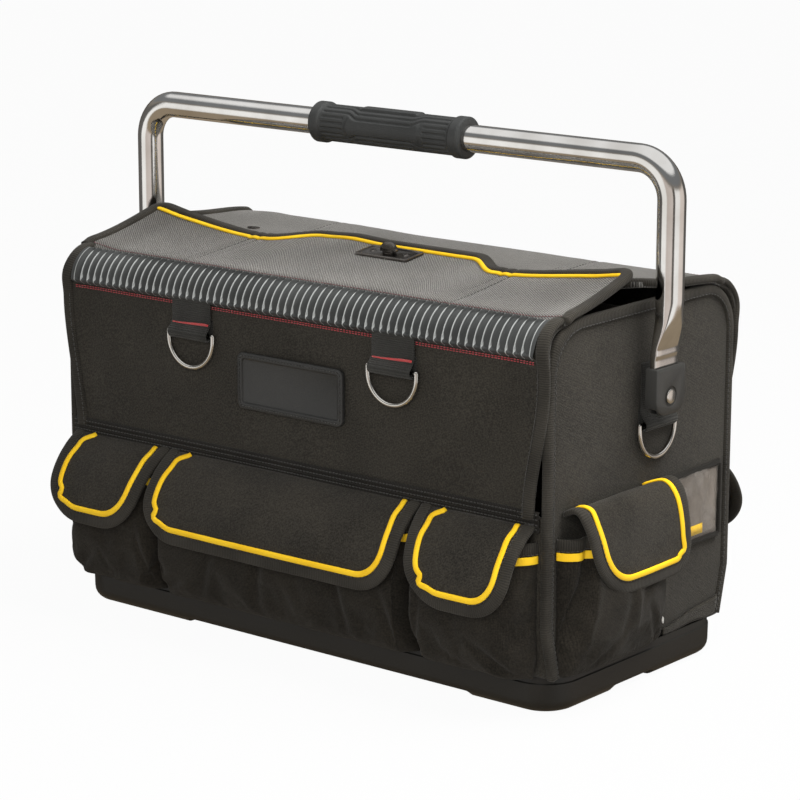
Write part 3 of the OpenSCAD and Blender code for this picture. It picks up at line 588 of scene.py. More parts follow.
def sweep(name, path, ups, section, material, closed=False):
    """A tape, binding or bar: section points (across, up) carried along a path.
    Its map runs along it and round it, in metres."""
    path = np.asarray(path, float)
    ups = np.broadcast_to(np.asarray(ups, float), path.shape)
    if closed:
        ahead = np.roll(path, -1, axis=0) - np.roll(path, 1, axis=0)
    else:
        ahead = np.gradient(path, axis=0)
    ahead = ahead / np.linalg.norm(ahead, axis=1)[:, None]
    across = np.cross(ahead, ups)
    across = across / np.linalg.norm(across, axis=1)[:, None]
    ups = np.cross(across, ahead)
    section = np.asarray(section, float)
    if section.ndim == 2:
        section = np.broadcast_to(section, (len(path), *section.shape))
    rings = (path[:, None, :] + across[:, None, :] * section[:, :, 0:1]
             + ups[:, None, :] * section[:, :, 1:2])
    count = section.shape[1]
    length = run_length(np.vstack([path, path[:1]]) if closed else path)
    girth = run_length(np.vstack([section[0], section[0][:1]]))
    along = np.broadcast_to(length[:, None], (len(length), count + 1))
    around = np.broadcast_to(girth, (len(length), count + 1))
    piece = grid_mesh(name, rings, along, around, wrap=True, closed=closed, caps=not closed)
    faces_outward(piece)
    piece.data.materials.append(material)
    return piece


def flat_tape(width, thickness, sides=4):
    """Section of a tape with rounded edges, its back at height 0."""
    half = thickness / 2
    turn = np.radians(np.linspace(-90, 90, sides + 1))
    right = np.stack([width / 2 - half + half * np.cos(turn), half + half * np.sin(turn)], axis=1)
    left = right[::-1] * [-1, 1]
    flats = np.linspace(0.25, 0.75, 3)[:, None]
    low = left[-1] + (right[0] - left[-1]) * flats
    top = right[-1] + (left[0] - right[-1]) * flats
    return np.vstack([right, top, left, low])


def stitched(name, path, ups, material, pitch=4.2, length=3.2, radius=0.42, lift=0.25):
    """A row of thread stitches along a path on the cloth."""
    path = np.asarray(path, float)
    ups = np.broadcast_to(np.asarray(ups, float), path.shape)
    whole = run_length(path)
    middles = np.arange(pitch / 2, whole[-1], pitch)
    turn = np.radians(np.arange(0, 360, 72))
    verts = []
    faces = []

    def at(distance, line):
        return np.stack([np.interp(distance, whole, line[:, k]) for k in range(3)], axis=1)

    start = at(middles - length / 2, path)
    stop = at(middles + length / 2, path)
    over = at(middles, ups)
    over = over / np.linalg.norm(over, axis=1)[:, None]
    across = np.cross(stop - start, over)
    across = across / np.linalg.norm(across, axis=1)[:, None]
    for t, size, high in ((0.0, 0.45, 0.0), (0.22, 1.0, 1.0), (0.78, 1.0, 1.0), (1.0, 0.45, 0.0)):
        centre = start + (stop - start) * t + over * (lift * high)
        ring = (centre[:, None, :] + across[:, None, :] * (np.cos(turn) * radius * size)[None, :, None]
                + over[:, None, :] * (np.sin(turn) * radius * size)[None, :, None])
        verts.append(ring)
    verts = np.stack(verts, axis=1).reshape(-1, 3)
    for k in range(len(middles)):
        first = k * 20
        for r in range(3):
            for c in range(5):
                d = (c + 1) % 5
                faces.append((first + r * 5 + c, first + (r + 1) * 5 + c,
                              first + (r + 1) * 5 + d, first + r * 5 + d))
        faces.append(tuple(first + c for c in range(5)))
        faces.append(tuple(first + 15 + c for c in range(5))[::-1])
    mesh = bpy.data.meshes.new(name)
    mesh.from_pydata((verts * 0.001).tolist(), [], faces)
    mesh.polygons.foreach_set("use_smooth", [True] * len(faces))
    piece = new_piece(name, mesh)
    faces_outward(piece)
    piece.data.materials.append(material)
    return piece


def thread_material(name, colour):
    """Sewing thread with a slight shine and uneven tone."""
    paint = Paint(name)
    tone = paint.noise(700.0, 1.0).ramp(0.3, 0.7)
    return paint.finish(colour=tone.mix(tuple(c * 0.75 for c in colour), colour), roughness=0.5,
                        Sheen_Weight=0.2)


def mirrored(piece, name, scale):
    """Copy with its own mesh, mirrored through the planes where scale is -1."""
    made = new_piece(name, piece.data.copy())
    count = len(made.data.vertices)
    places = np.empty(count * 3, np.float32)
    made.data.vertices.foreach_get("co", places)
    places = places.reshape(-1, 3) * np.array(scale, np.float32)
    made.data.vertices.foreach_set("co", places.ravel())
    if scale[0] * scale[1] * scale[2] < 0:
        made.data.flip_normals()
    made.data.update()
    return made


def flipped(piece, scale):
    """The mirror copy of a piece in its stead, under its name."""
    name = piece.name
    made = mirrored(piece, name + "_m", scale)
    bpy.data.objects.remove(piece)
    made.name = name
    return made


def fit_ends(piece, slot, stem=None):
    """Hangs a piece of the right end and its mirror copy for the left end on the bag."""
    other = mirrored(piece, piece.name.replace("right", "left"), (-1, 1, 1))
    for made, end in ((piece, "right"), (other, "left")):
        fit(made, "bag", slot, *([stem + end] if stem else []))
    return piece, other


both_sides = ((1, "front"), (-1, "rear"))
both_ends = ((1, "right"), (-1, "left"))
nylon = woven("nylon_body", (0.003, 0.0026, 0.0018), (0.056, 0.0495, 0.039), sheen=0.12)
binding_tape = ribbed_tape("binding_tape", (0.003, 0.0027, 0.0021), (0.048, 0.043, 0.035), rib=1.8,
                           sheen=0.08)
black_thread = thread_material("black_thread", (0.034, 0.032, 0.028))


# End panels: padded board in woven nylon, sewn into a wide black binding that goes
# round the rounded top corners.
panel_out_x = 249.0
panel_half_y = 123.0
panel_foot_y = 113.5
panel_low_z = 30.4
panel_flare_z = 70.0
panel_top_z = 304.0
panel_corner_r = 40.0


def panel_outline(inset):
    """Edge of an end panel in Y and Z from the front foot over the top to the rear foot."""
    side = panel_half_y - inset
    corner = panel_corner_r - inset
    turn = np.radians(np.linspace(180, 90, 19))
    round_front = np.stack([-side + corner + corner * np.cos(turn),
                            panel_top_z - panel_corner_r + corner * np.sin(turn)], axis=1)
    front = np.array([[-panel_foot_y + inset, panel_low_z], [-side, panel_flare_z]])
    half = np.vstack([front, round_front])
    return spaced(np.vstack([half, half[::-1] * [-1, 1]]), 4.0)


edge = panel_outline(1.0)
foot = spaced([edge[-1], edge[0]], 6.0)[1:-1]
edge = np.vstack([edge, foot])
rings = []
for share in np.linspace(1.0, 0.0, 24):
    ring = np.array([0.0, 165.0]) + (edge - [0.0, 165.0]) * share
    dimples = 0.5 * np.sin(ring[:, 0] * 0.05 + 1.0) * np.sin(ring[:, 1] * 0.037)
    rings.append(np.column_stack([panel_out_x - 0.8 + (1.4 + dimples) * (1 - share ** 5), ring]))
rings = np.array(rings)
looped = np.concatenate([rings, rings[:, :1]], axis=1)
panel = grid_mesh("end_cloth_right", rings, looped[:, :, 1], looped[:, :, 2], wrap=True)
merge_points(panel, 0.00001)
if panel.data.polygons[40].normal.x < 0:
    panel.data.flip_normals()
panel.data.materials.append(nylon)
add_modifier(panel, "SOLIDIFY", thickness=0.0034, offset=-1)


def oval(width, height, lift=0.0, sides=12, square=2.6):
    """Section of a padded edge: a rounded box."""
    turn = np.radians(np.arange(0, 360, 360 / sides))
    bend = 2 / square
    return np.stack([width / 2 * np.sign(np.cos(turn)) * np.abs(np.cos(turn)) ** bend,
                     lift + height / 2 * np.sign(np.sin(turn)) * np.abs(np.sin(turn)) ** bend], axis=1)


line = panel_outline(3.4)
path = np.column_stack([np.full(len(line), panel_out_x - 1.9), line])
panel_binding = sweep("end_binding_right", path, (1, 0, 0), oval(9.0, 7.4, 0.0, 16, 3.2), binding_tape)
line = panel_outline(6.3)
path = np.column_stack([np.full(len(line), panel_out_x + 1.55), line])
panel_stitch = stitched("end_binding_stitch_right", path, (1, 0, 0), black_thread)
hem = []
for share in np.linspace(0.0, 1.0, 6):
    hem.append([(panel_out_x + 1.5 - 0.5 * share, y, 30.6 + (5.5 + 11.5 * (y - 32.0) / 80.0) * (1 - share)
                 + 0.8 * math.sin(y * 0.11)) for y in np.linspace(32.0, 109.0, 30)])
hem = sheet("end_hem_right", hem, (1, 0, 0), 1.0, nylon)
seam = [(panel_out_x + 1.6, 25.6 + 0.02 * (z - 50), z) for z in np.linspace(134.0, 50.0, 40)]
side_seam = stitched("end_seam_right", seam, (1, 0, 0), black_thread)
white_thread = thread_material("white_thread", (0.62, 0.60, 0.56))
tack = [(panel_out_x + 2.2, 29.8 + 1.0 * k, 44.4 - 3.4 * k) for k in (-1, -0.5, 0, 0.5, 1)]
white_tack = sweep("end_tack_right", tack, (1, 0, 0),
                   [oval(w, 0.9, 0.0, 8, 2.0) for w in (0.4, 2.6, 4.2, 2.6, 0.4)], white_thread)
for made in fit_ends(panel, "board_fabric", "end_panel_"):
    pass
for piece, slot in ((panel_binding, "webbing"), (panel_stitch, "webbing"), (hem, "board_fabric"),
                    (side_seam, "webbing"), (white_tack, "webbing")):
    fit_ends(piece, slot)


# Front and rear walls: board in the same nylon, tucked into the tray and flaring above
# it. A tape with four rows of stitching joins each wall to its cover and is the hinge.
wall_half_x = 245.0
wall_y = 122.0
waist_low_z = 147.5
waist_top_z = 163.5

columns = np.linspace(-wall_half_x, wall_half_x, 60)
profile = [(-113.9, 30.4), (-wall_y, 70.0), (-wall_y, 110.0), (-wall_y, 158.0)]
profile = spaced(profile, 6.0)
wall = sheet("front_wall_cloth", [[(x, y, z) for x in columns] for y, z in profile], (0, -1, 0), 3.0, nylon)

columns = np.linspace(-242.5, 242.5, 98)
rows = np.linspace(waist_top_z, waist_low_z, 22)
band = []
for z in rows:
    groove = 0.75 * np.cos((z - waist_low_z) / (waist_top_z - waist_low_z) * 2 * math.pi * 3.5)
    band.append([(x, -126.3 - groove - 0.5 * math.sin(x * 0.021), z) for x in columns])
# The waist tape is painted much darker than the bindings: painted shade in the recess between the flaps and
# the cover.
waist_tape = ribbed_tape("waist_tape", (0.003, 0.0027, 0.0022), (0.020, 0.018, 0.015), sheen=0.08)
waist = sheet("front_waist_tape", band, (0, -1, 0), 1.6, waist_tape)
waist_rows = []
for z in (150.0, 153.6, 157.4, 161.2):
    path = np.array([(x, -127.0 - 0.5 * math.sin(x * 0.021), z) for x in columns])
    waist_rows.append(stitched("front_waist_stitch_%d" % round(z), path, (0, -1, 0), black_thread,
                               pitch=3.4, length=2.7, radius=0.36))

for piece in (wall, waist, *waist_rows):
    rear = mirrored(piece, piece.name.replace("front", "rear"), (1, -1, 1))
    for made, side, out in ((piece, "front", -1), (rear, "rear", 1)):
        if piece is wall:
            fit(made, "bag", "board_fabric", side + "_wall")
            continue
        side + "_cover"
        out * 0.126
        out * 0.126
        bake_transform(made)


# Outer pockets: open-topped pouches of softer nylon, pleated at their lower corners and
# edged at the mouth with a black tape over a yellow one. Each is settled as cloth.
soft_nylon = woven("soft_nylon", (0.002, 0.0017, 0.0011), (0.029, 0.0245, 0.0185), thread=1.2,
                   roughness=0.8, sheen=0.07, mottle=1.0, contrast=0.5)


def yellow_finish(name, ribs):
    """Smooth yellow tape or piping, with slow and fine changes of tone and fine ribs."""
    paint = Paint(name)
    slow = paint.noise(30.0, 2.0).ramp(0.3, 0.7)
    fine = paint.noise(1200.0, 1.0)
    weave = paint.math("ABSOLUTE", paint.math("SINE", paint.along(0) * (1000.0 * math.pi / ribs)))
    tone = (slow * 0.5 + fine * 0.3 + weave * 0.2).clamp(0.0, 1.0)
    return paint.finish(colour=tone.mix((0.86, 0.49, 0.012), (0.97, 0.63, 0.028)), roughness=0.6,
                        bump=weave * 0.5 + fine * 0.5, bump_distance=0.00012,
                        Specular_IOR_Level=0.2)


yellow_tape = yellow_finish("yellow_tape", 1.3)


def settle(piece, pins, give, frames=16, pressure=1.5, grow=0.03, cap=6.0):
    """Cloth simulation with pinned points, applied; no point moves over cap millimetres.
    give is each point's share of its movement, less than 1 where a tape stiffens the cloth."""
    pick(piece)
    before = np.array([v.co[:] for v in piece.data.vertices])
    group = piece.vertex_groups.new(name="pinned")
    group.add([int(i) for i in np.flatnonzero(pins)], 1.0, "REPLACE")
    cloth = piece.modifiers.new("cloth", "CLOTH")
    cloth.settings.vertex_group_mass = "pinned"
    cloth.settings.quality = 6
    cloth.settings.mass = 0.15
    cloth.settings.tension_stiffness = 25
    cloth.settings.compression_stiffness = 25
    cloth.settings.shear_stiffness = 8
    cloth.settings.bending_stiffness = 0.8
    cloth.settings.shrink_min = -grow
    cloth.settings.use_pressure = pressure > 0
    cloth.settings.uniform_pressure_force = pressure
    cloth.settings.effector_weights.gravity = 0
    cloth.collision_settings.use_collision = False
    cloth.collision_settings.use_self_collision = False
    cloth.point_cache.frame_end = frames
    for number in range(1, frames + 1):
        bpy.context.scene.frame_set(number)
    bpy.ops.object.modifier_apply(modifier=cloth.name)
    bpy.context.scene.frame_set(1)
    after = np.array([v.co[:] for v in piece.data.vertices])
    moved = (after - before) * give[:, None]
    size = np.linalg.norm(moved, axis=1, keepdims=True) + 1e-9
    moved = moved * np.minimum(1.0, cap * 0.001 * np.tanh(size / (cap * 0.001)) / size)
    piece.data.vertices.foreach_set("co", (before + moved).astype(np.float32).ravel())
    piece.data.update()
    piece.vertex_groups.clear()
    return piece


pouch_rows = 30
pouch_columns = 97
mouth_tape_drop = 12.8


def pouch(width, rows, folds, seed, corners):
    """Outer face of a pocket with its wall plane at 0: (x, out, z) for each row and column.
    rows lists (z, out) from the foot up; folds are (x share, z share, tilt, depth, width,
    length); corners says how far the left and the right side slant in plan."""
    heights = np.array([r[0] for r in rows], float)
    outs = np.array([r[1] for r in rows], float)
    grid = []
    for z in np.linspace(heights[0], heights[-1], pouch_rows):
        out = np.interp(z, heights, outs)
        low = (z - heights[0]) / (heights[-1] - heights[0])
        half = width / 2 - 2.0 * (1 - ease(low / 0.18)) - 0.6 * ease((low - 0.75) / 0.25)
        line = []
        for sign, corner in ((-1, corners[0]), (1, corners[1])):
            side = [(sign * half, 0.0), (sign * (half - 0.12 * corner), out * 0.38),
                    (sign * (half - 0.45 * corner), out * 0.74), (sign * (half - corner), out * 0.95),
                    (sign * max(half - 1.9 * corner, 6.0), out)]
            line += side + [(0.0, out + 1.5 * (1 - abs(2 * low - 1)))] if sign < 0 else side[::-1]
        line = curved(line, 1.0)
        line = spaced(line, run_length(line)[-1] / (pouch_columns - 1.001))[:pouch_columns]
        x, depth = line[:, 0], line[:, 1]
        share = x / (width / 2)
        facing = ease(depth / (out * 0.5 + 0.001))
        wave = np.zeros_like(x)
        for at_x, at_z, tilt, deep, broad, length in folds:
            c, s = math.cos(tilt), math.sin(tilt)
            aside = (share - at_x) * width * 0.5
            above = (low - at_z) * 97.0
            away = aside * c - above * s
            beside = aside * s + above * c
            fade = deep * np.exp(-(beside / length) ** 2)
            wave -= fade * np.exp(-(away / broad) ** 2)
            wave += 0.35 * fade * np.exp(-((away - 2.0 * broad) / broad) ** 2)
        wave += 0.8 * np.sin(x * 0.09 + seed + z * 0.05) * np.sin(z * 0.075 + seed * 2)
        grid.append(np.stack([x, depth + wave * facing, np.full_like(x, z)], axis=1))
    return np.array(grid)


front_rows = [(31, 13), (34, 20), (40, 24.5), (50, 27), (68, 30), (88, 30.5), (108, 27), (124, 21.5),
              (138.5, 14.5)]
end_rows = [(31, 10), (34, 15.5), (42, 20), (60, 24), (82, 25), (106, 22.5), (126, 19), (140, 16)]


def make_pocket(name, width, rows, folds, seed, grow, corners):
    """Body, two mouth tapes and their stitches, in the pocket's own frame with out along -Y."""
    face = pouch(width, rows, folds, seed, corners)
    points = np.stack([face[:, :, 0], -face[:, :, 1], face[:, :, 2]], axis=2)
    body = sheet(name, points[::-1], (0, -1, 0), 0, soft_nylon)
    count = points.shape[1]
    row = np.arange(len(points) * count) // count
    column = np.arange(len(points) * count) % count
    held = (row == 0) | (row >= len(points) - 2) | (column <= 1) | (column >= count - 2)
    settle(body, held, ease((row - 3.5) / 6.0), pressure=1.2, grow=grow, cap=4.0)
    places = np.array([v.co[:] for v in body.data.vertices]).reshape(len(points), count, 3) * 1000.0
    mouth = places[0]
    add_modifier(body, "SOLIDIFY", thickness=0.0016, offset=-1)
    add_modifier(body, "SUBSURF", levels=1, render_levels=1)
    outward = np.gradient(mouth, axis=0)
    outward = np.stack([outward[:, 1], -outward[:, 0], np.zeros(count)], axis=1)
    outward /= np.linalg.norm(outward, axis=1)[:, None] + 1e-9
    if outward[count // 2, 1] > 0:
        outward = -outward
    low = places[np.argmin(np.abs(places[:, count // 2, 2] - mouth[count // 2, 2] + mouth_tape_drop))]
    low = low + (mouth[:, 2:] - mouth_tape_drop - low[:, 2:]) * [0, 0, 1]
    black = sweep(name + "_mouth_tape", mouth * 0.65 + low * 0.35 + outward * 0.2, outward,
                  oval(10.4, 3.2, -0.2, 12, 4.0), binding_tape)
    yellow = sweep(name + "_mouth_yellow", low + outward * 0.4, outward, flat_tape(6.4, 1.3), yellow_tape)
    stitch = stitched(name + "_mouth_stitch", mouth * 0.35 + low * 0.65 + outward * 1.9, outward,
                      black_thread, pitch=3.6, length=2.8, radius=0.35)
    return [body, black, yellow, stitch]


def placed(piece, name, turn=0.0, shift=(0, 0, 0), scale=(1, 1, 1)):
    """Copy of a piece turned about Z and shifted in millimetres, with its place in its mesh."""
    made = mirrored(piece, name, scale)
    c, s = math.cos(turn), math.sin(turn)
    places = np.array([v.co[:] for v in made.data.vertices])
    places = np.stack([c * places[:, 0] - s * places[:, 1], s * places[:, 0] + c * places[:, 1],
                       places[:, 2]], axis=1) + np.array(shift) * 0.001
    made.data.vertices.foreach_set("co", places.astype(np.float32).ravel())
    made.data.update()
    return made


def end_copy(piece, name, shift, out):
    """Copy of a part turned to face the right end, or the left end where out is -1."""
    made = placed(piece, name, math.pi / 2, shift)
    return flipped(made, (-1, 1, 1)) if out < 0 else made


def renamed(piece, stem, plain="cloth"):
    """A part's name under another stem, and whether it is the main part of its set."""
    ending = piece.name.split("_", 2)[2:]
    return "_".join([stem] + (ending or [plain])), not ending


def discard(pieces):
    for piece in pieces:
        bpy.data.objects.remove(piece)


side_pocket_x = 187.0
side_folds = [(-0.66, 0.10, 0.95, 6.5, 3.6, 20.0), (0.80, 0.22, -0.25, 3.0, 3.4, 34.0),
              (0.1, 0.45, 0.2, 1.8, 6.0, 30.0), (-0.45, 0.62, 0.7, 1.6, 4.5, 26.0),
              (-0.1, 0.05, 1.2, 2.4, 3.4, 16.0)]
middle_folds = [(-0.86, 0.14, 1.15, 5.5, 3.4, 18.0), (0.90, 0.22, -0.3, 3.2, 3.6, 32.0),
                (-0.12, 0.5, 0.1, 2.2, 6.0, 32.0), (0.5, 0.42, -0.3, 1.8, 5.0, 28.0),
                (-0.55, 0.3, 0.5, 1.6, 4.5, 24.0), (0.2, 0.08, 1.2, 1.8, 3.4, 20.0)]
end_folds = [(-0.88, 0.50, 0.235, 10.0, 4.5, 45.0), (0.62, 0.12, -0.7, 2.6, 3.6, 24.0),
             (-0.1, 0.5, 0.3, 2.2, 5.5, 28.0), (0.42, 0.62, 0.9, 1.6, 4.5, 24.0),
             (-0.5, 0.12, 0.9, 2.2, 3.4, 18.0)]
side_pocket = make_pocket("pocket_side", 106.0, front_rows, side_folds, 0.7, 0.035, (19.0, 9.0))
middle_pocket = make_pocket("pocket_middle", 262.0, front_rows, middle_folds, 2.1, 0.03, (9.0, 9.0))
end_pocket = make_pocket("pocket_end", 135.0, end_rows, end_folds, 4.2, 0.03, (21.0, 40.0))
sewn_slots = ["pocket_fabric", "webbing", "yellow_piping", "webbing"]
for parts, spot, x, flip in ((side_pocket, "left", -side_pocket_x, 1), (middle_pocket, "middle", 0.0, 1),
                             (side_pocket, "right", side_pocket_x, -1)):
    for out, side in both_sides:
        node = side + "_pocket_" + spot
        for piece, slot in zip(parts, sewn_slots):
            name, main = renamed(piece, node)
            made = placed(piece, name, 0.0, (x, -wall_y * out, 0), (flip, out, 1))
            fit(made, "bag", slot, *([node] if main else []))
for out, side in both_ends:
    node = "end_pocket_" + side
    for piece, slot in zip(end_pocket, sewn_slots):
        name, main = renamed(piece, node)
        fit(end_copy(piece, name, (249.0, -43.0, 0), out), "bag", slot, *([node] if main else []))
discard(side_pocket + middle_pocket + end_pocket)


# Pocket flaps: two layers of soft nylon that hang out over the pouches, with a wide ribbed
# binding on three sides and a yellow piping inside it. They are sewn in under the waist.
flap_nylon = woven("flap_nylon", (0.003, 0.0027, 0.0019), (0.050, 0.044, 0.035), thread=1.15, roughness=0.8,
                   sheen=0.10, mottle=0.8, contrast=0.5)


def flap_piece(name, top, low, profile, sides, radii, crown, kink, curl):
    """Parts of one flap in its own frame: x across, out along -Y, z up.
    profile lists (out, z); sides are (x at the hinge, x at the foot) left and right; curl is
    how far the piping turns in at its two upper ends."""
    profile = curved(profile, 0.5)
    down = run_length(profile)
    (left_top, left_low), (right_top, right_low) = sides

    def edge_at(z, left, inset):
        radius = max((radii[0] if left else radii[1]) - inset, 2.0)
        floor = low + inset
        share = np.clip((top - z) / (top - low), 0, 1)
        x = left_top + (left_low - left_top) * share if left else right_top + (right_low - right_top) * share
        rise = np.clip(floor + radius - z, 0, radius)
        pull = radius - np.sqrt(np.maximum(radius * radius - rise * rise, 0.0)) + inset
        return x + pull if left else x - pull

    def face(x, at, lift=0.0):
        """Point on the outer face at distance at down the flap from its hinge."""
        out = np.interp(at, down, profile[:, 0])
        z = np.interp(at, down, profile[:, 1])
        slope = [np.interp(at, down, np.gradient(profile[:, k], down)) for k in (0, 1)]
        middle = (left_low + right_low) / 2
        half = (right_low - left_low) / 2
        share = np.clip((x - middle) / half, -1.1, 1.1)
        low_share = at / down[-1]
        bulge = crown * (1 - share ** 2) * np.sin(np.pi * np.clip(low_share * 0.85 + 0.05, 0, 1))
        bulge = bulge + 0.5 * np.sin(x * 0.07 + top) * np.sin(at * 0.09)
        bulge = bulge + lift
        return np.stack([x + 0 * at, -(out - slope[1] * bulge), z + slope[0] * bulge * 0.6], axis=-1)

    def at_height(z):
        return np.interp(-z, -profile[:, 1][np.argmax(profile[:, 1]):],
                         down[np.argmax(profile[:, 1]):])

    round_r = max(radii)
    turn = np.radians(np.linspace(0, 90, 16))
    ats = np.concatenate([np.linspace(0, at_height(low + round_r), 16)[:-1],
                          at_height(low + round_r - round_r * np.sin(turn))])
    heights = np.interp(ats, down, profile[:, 1])
    grid = []
    for at, z in zip(ats, heights):
        x = np.linspace(edge_at(z, True, 1.5), edge_at(z, False, 1.5), 41)
        grid.append(face(x, np.full(41, max(at, 0.0))))
    cloth = sheet(name, grid, (0, -1, 0), 2.2, flap_nylon)

    def rim(inset, start, lift):
        """Path round the free edges at an inset, with the cloth's normal."""
        halves = []
        for left, corner in ((True, radii[0]), (False, radii[1])):
            points = []
            for at in np.linspace(start, at_height(low + corner), 14)[:-1]:
                points.append((edge_at(np.interp(at, down, profile[:, 1]), left, inset), at))
            radius = max(corner - inset, 2.0)
            for angle in np.radians(np.linspace(0, 90, 14)):
                z = low + inset + radius * (1 - math.sin(angle))
                points.append((corner_at(z, inset + radius * (1 - math.cos(angle)), left), at_height(z)))
            halves.append(points)
        flat = spaced(halves[0] + halves[1][::-1], 2.2)
        path = face(flat[:, 0], flat[:, 1], lift)
        higher = face(flat[:, 0], flat[:, 1], lift + 1.0)
        ups = higher - path
        ups = ups / np.linalg.norm(ups, axis=1)[:, None]
        return flat, path, ups

    def corner_at(z, inwards, left):
        """Place across the flap at height z, inwards from its straight side."""
        share = np.clip((top - z) / (top - low), 0, 1)
        if left:
            return left_top + (left_low - left_top) * share + inwards
        return right_top + (right_low - right_top) * share - inwards

    path, ups = rim(4.3, 0.0, -1.1)[1:]
    binding = sweep(name + "_binding", path, ups, oval(10.4, 4.6, 0.0, 14, 3.0), binding_tape)
    flat, path, ups = rim(12.0, 2.0, 0.3)
    whole = run_length(flat)
    flat[:, 0] += curl[0] * np.exp(-(whole / 6.0) ** 2) - curl[1] * np.exp(-((whole[-1] - whole) / 6.0) ** 2)
    flat[:, 0] += 2.5 * np.exp(-((whole - 15.0) / 9.0) ** 2)
    flat[:, 0] -= 1.5 * np.exp(-((whole[-1] - 15.0 - whole) / 9.0) ** 2)
    at_x = left_low + 12.0 + 5.0 if kink < 0 else right_low - 12.0 - 5.0
    corner = np.argmin(np.hypot(flat[:, 0] - at_x, flat[:, 1] - (down[-1] - 12.0 - 9.0)))
    near = np.exp(-((whole - whole[corner]) / 5.0) ** 2)
    jog = np.exp(-((whole - whole[corner] + 6.0) / 2.6) ** 2)
    flat[:, 0] += np.sign(kink) * (2.2 * near - 3.0 * jog)
    flat[:, 1] += 2.2 * near
    path = face(flat[:, 0], flat[:, 1], 0.4)
    piping = sweep(name + "_piping", path, ups, oval(4.9, 2.4, 0.4, 10, 2.2), yellow_tape)
    path, ups = rim(9.0, 3.0, 0.75)[1:]
    stitch = stitched(name + "_stitch", path, ups, black_thread, pitch=3.8, length=3.0, radius=0.34)
    return [cloth, binding, piping, stitch]


def arc_profile(out, top, low, share=0.84):
    """Profile of a flap that arcs out from its hinge and then hangs."""
    fall = (top - low) * share
    radius = (out * out + fall * fall) / (2 * out)
    heights = np.linspace(top, top - fall, 9)
    points = [(math.sqrt(radius ** 2 - (z - top + fall) ** 2) - radius + out, z) for z in heights]
    return [(max(p[0], 0.2), p[1]) for p in points] + [(out + 0.3, low + 5), (out, low)]


def bend_at_hinge(piece, body, outward, replaced):
    """Bakes the piece's place into its mesh and hides the solid that it stands for, if any."""
    bpy.context.view_layer.update()
    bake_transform(piece)
    if replaced:
        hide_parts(replaced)


side_flap_x = 186.0
flap_hinge_y = 125.3
flap_top = 152.0
flap_low = 84.5
front_profile = arc_profile(36.0, flap_top, flap_low)
side_flap, right_flap, middle_flap = (
    flap_piece(name, flap_top, flap_low, front_profile, sides, radii, crown, -1, (11.0, 2.0))
    for name, sides, radii, crown in (
        ("flap_side", ((-53.5, -54.0), (52.5, 39.0)), (34.0, 34.0), 2.4),
        ("flap_third", ((-52.5, -39.0), (53.5, 54.0)), (34.0, 34.0), 2.4),
        ("flap_middle", ((-131.0, -133.0), (131.0, 131.0)), (34.0, 36.0), 3.0)))
end_profile = [(0.3, 158.5), (5.5, 161.8), (12.0, 162.8), (18.5, 159.0), (23.0, 148.0), (25.5, 130.0),
               (26.5, 110.0), (26.0, 91.0)]
end_flap = flap_piece("flap_end", 158.5, 91.0, end_profile, ((-64.0, -46.0), (66.0, 71.0)),
                      (38.0, 22.0), 2.0, 1, (3.0, 15.0))
for parts, spot, x in ((side_flap, "left", -side_flap_x), (middle_flap, "middle", 0.0),
                       (right_flap, "right", side_flap_x)):
    for out, side in both_sides:
        node = side + "_flap_" + spot
        for piece, slot in zip(parts, sewn_slots):
            name, main = renamed(piece, node)
            made = placed(piece, name, 0.0, (x, -flap_hinge_y * out, 0), (1, out, 1))
            bend_at_hinge(made, node + "_body", (0, -out, 0), node if main else None)
for out, side in both_ends:
    node = "end_flap_" + side
    for piece, slot in zip(end_flap, sewn_slots):
        name, main = renamed(piece, node)
        made = end_copy(piece, name, (249.3, -40.0, 0), out)
        bend_at_hinge(made, node + "_body", (out, 0, 0), node if main else None)
discard(side_flap + right_flap + middle_flap + end_flap)


# Card window behind each end pocket: a clear glossy sheet over a plain card, held in a
# narrow black binding. A plain yellow strip lies along the foot of the card.
def window_parts():
    """Frame, card, strip and clear sheet on the right end, in millimetres."""
    x = 250.2
    y0, y1, z0, z1 = 34.0, 106.0, 99.0, 157.0
    frame_path = [(x, y0, z1 - 6), (x, y0, z0), (x, y1, z0), (x, y1, z1)]
    low = spaced(frame_path, 3.0)
    # The frame uses the waist tape, whose colour is painted darker as shade of the waist's recess.
    frame_band = sweep("card_frame_right", low, (1, 0, 0), flat_tape(4.0, 2.8), waist_tape)
    top = sweep("card_window_right_top", spaced([(x, y0 - 1, z1), (x, y1 + 1, z1 + 1)], 3.0), (1, 0, 0),
                oval(5.0, 3.4, 0.6, 10, 2.2), waist_tape)
    rows = np.linspace(z1 - 1, z0 + 2, 14)
    columns = np.linspace(y0 + 2, y1 - 2, 18)
    card = sheet("card_window_right_card", [[(x + 0.3, y, z) for y in columns] for z in rows], (1, 0, 0),
                 0.4, card_grey)
    strip = sheet("card_window_right_strip",
                  [[(x + 0.75, y, z) for y in np.linspace(y0 + 8, y1 - 22, 8)] for z in (z0 + 13, z0 + 5)],
                  (1, 0, 0), 0.2, yellow_tape)
    rows = np.linspace(z1 - 0.5, z0 + 1.5, 30)
    columns = np.linspace(y0 + 1.5, y1 - 1.5, 36)
    bulge = [[(x + 0.9 + 1.5 * math.sin(math.pi * (y - y0) / (y1 - y0))
               * (0.35 + 0.65 * (z - z0) / (z1 - z0))
               + 0.55 * math.sin(y * 0.33 + z * 0.11) * math.sin(z * 0.21 + 1.0), y, z)
              for y in columns] for z in rows]
    clear = sheet("card_window_right_clear", bulge, (1, 0, 0), 0.3, clear_sheet)
    return [frame_band, top, card, strip, clear]


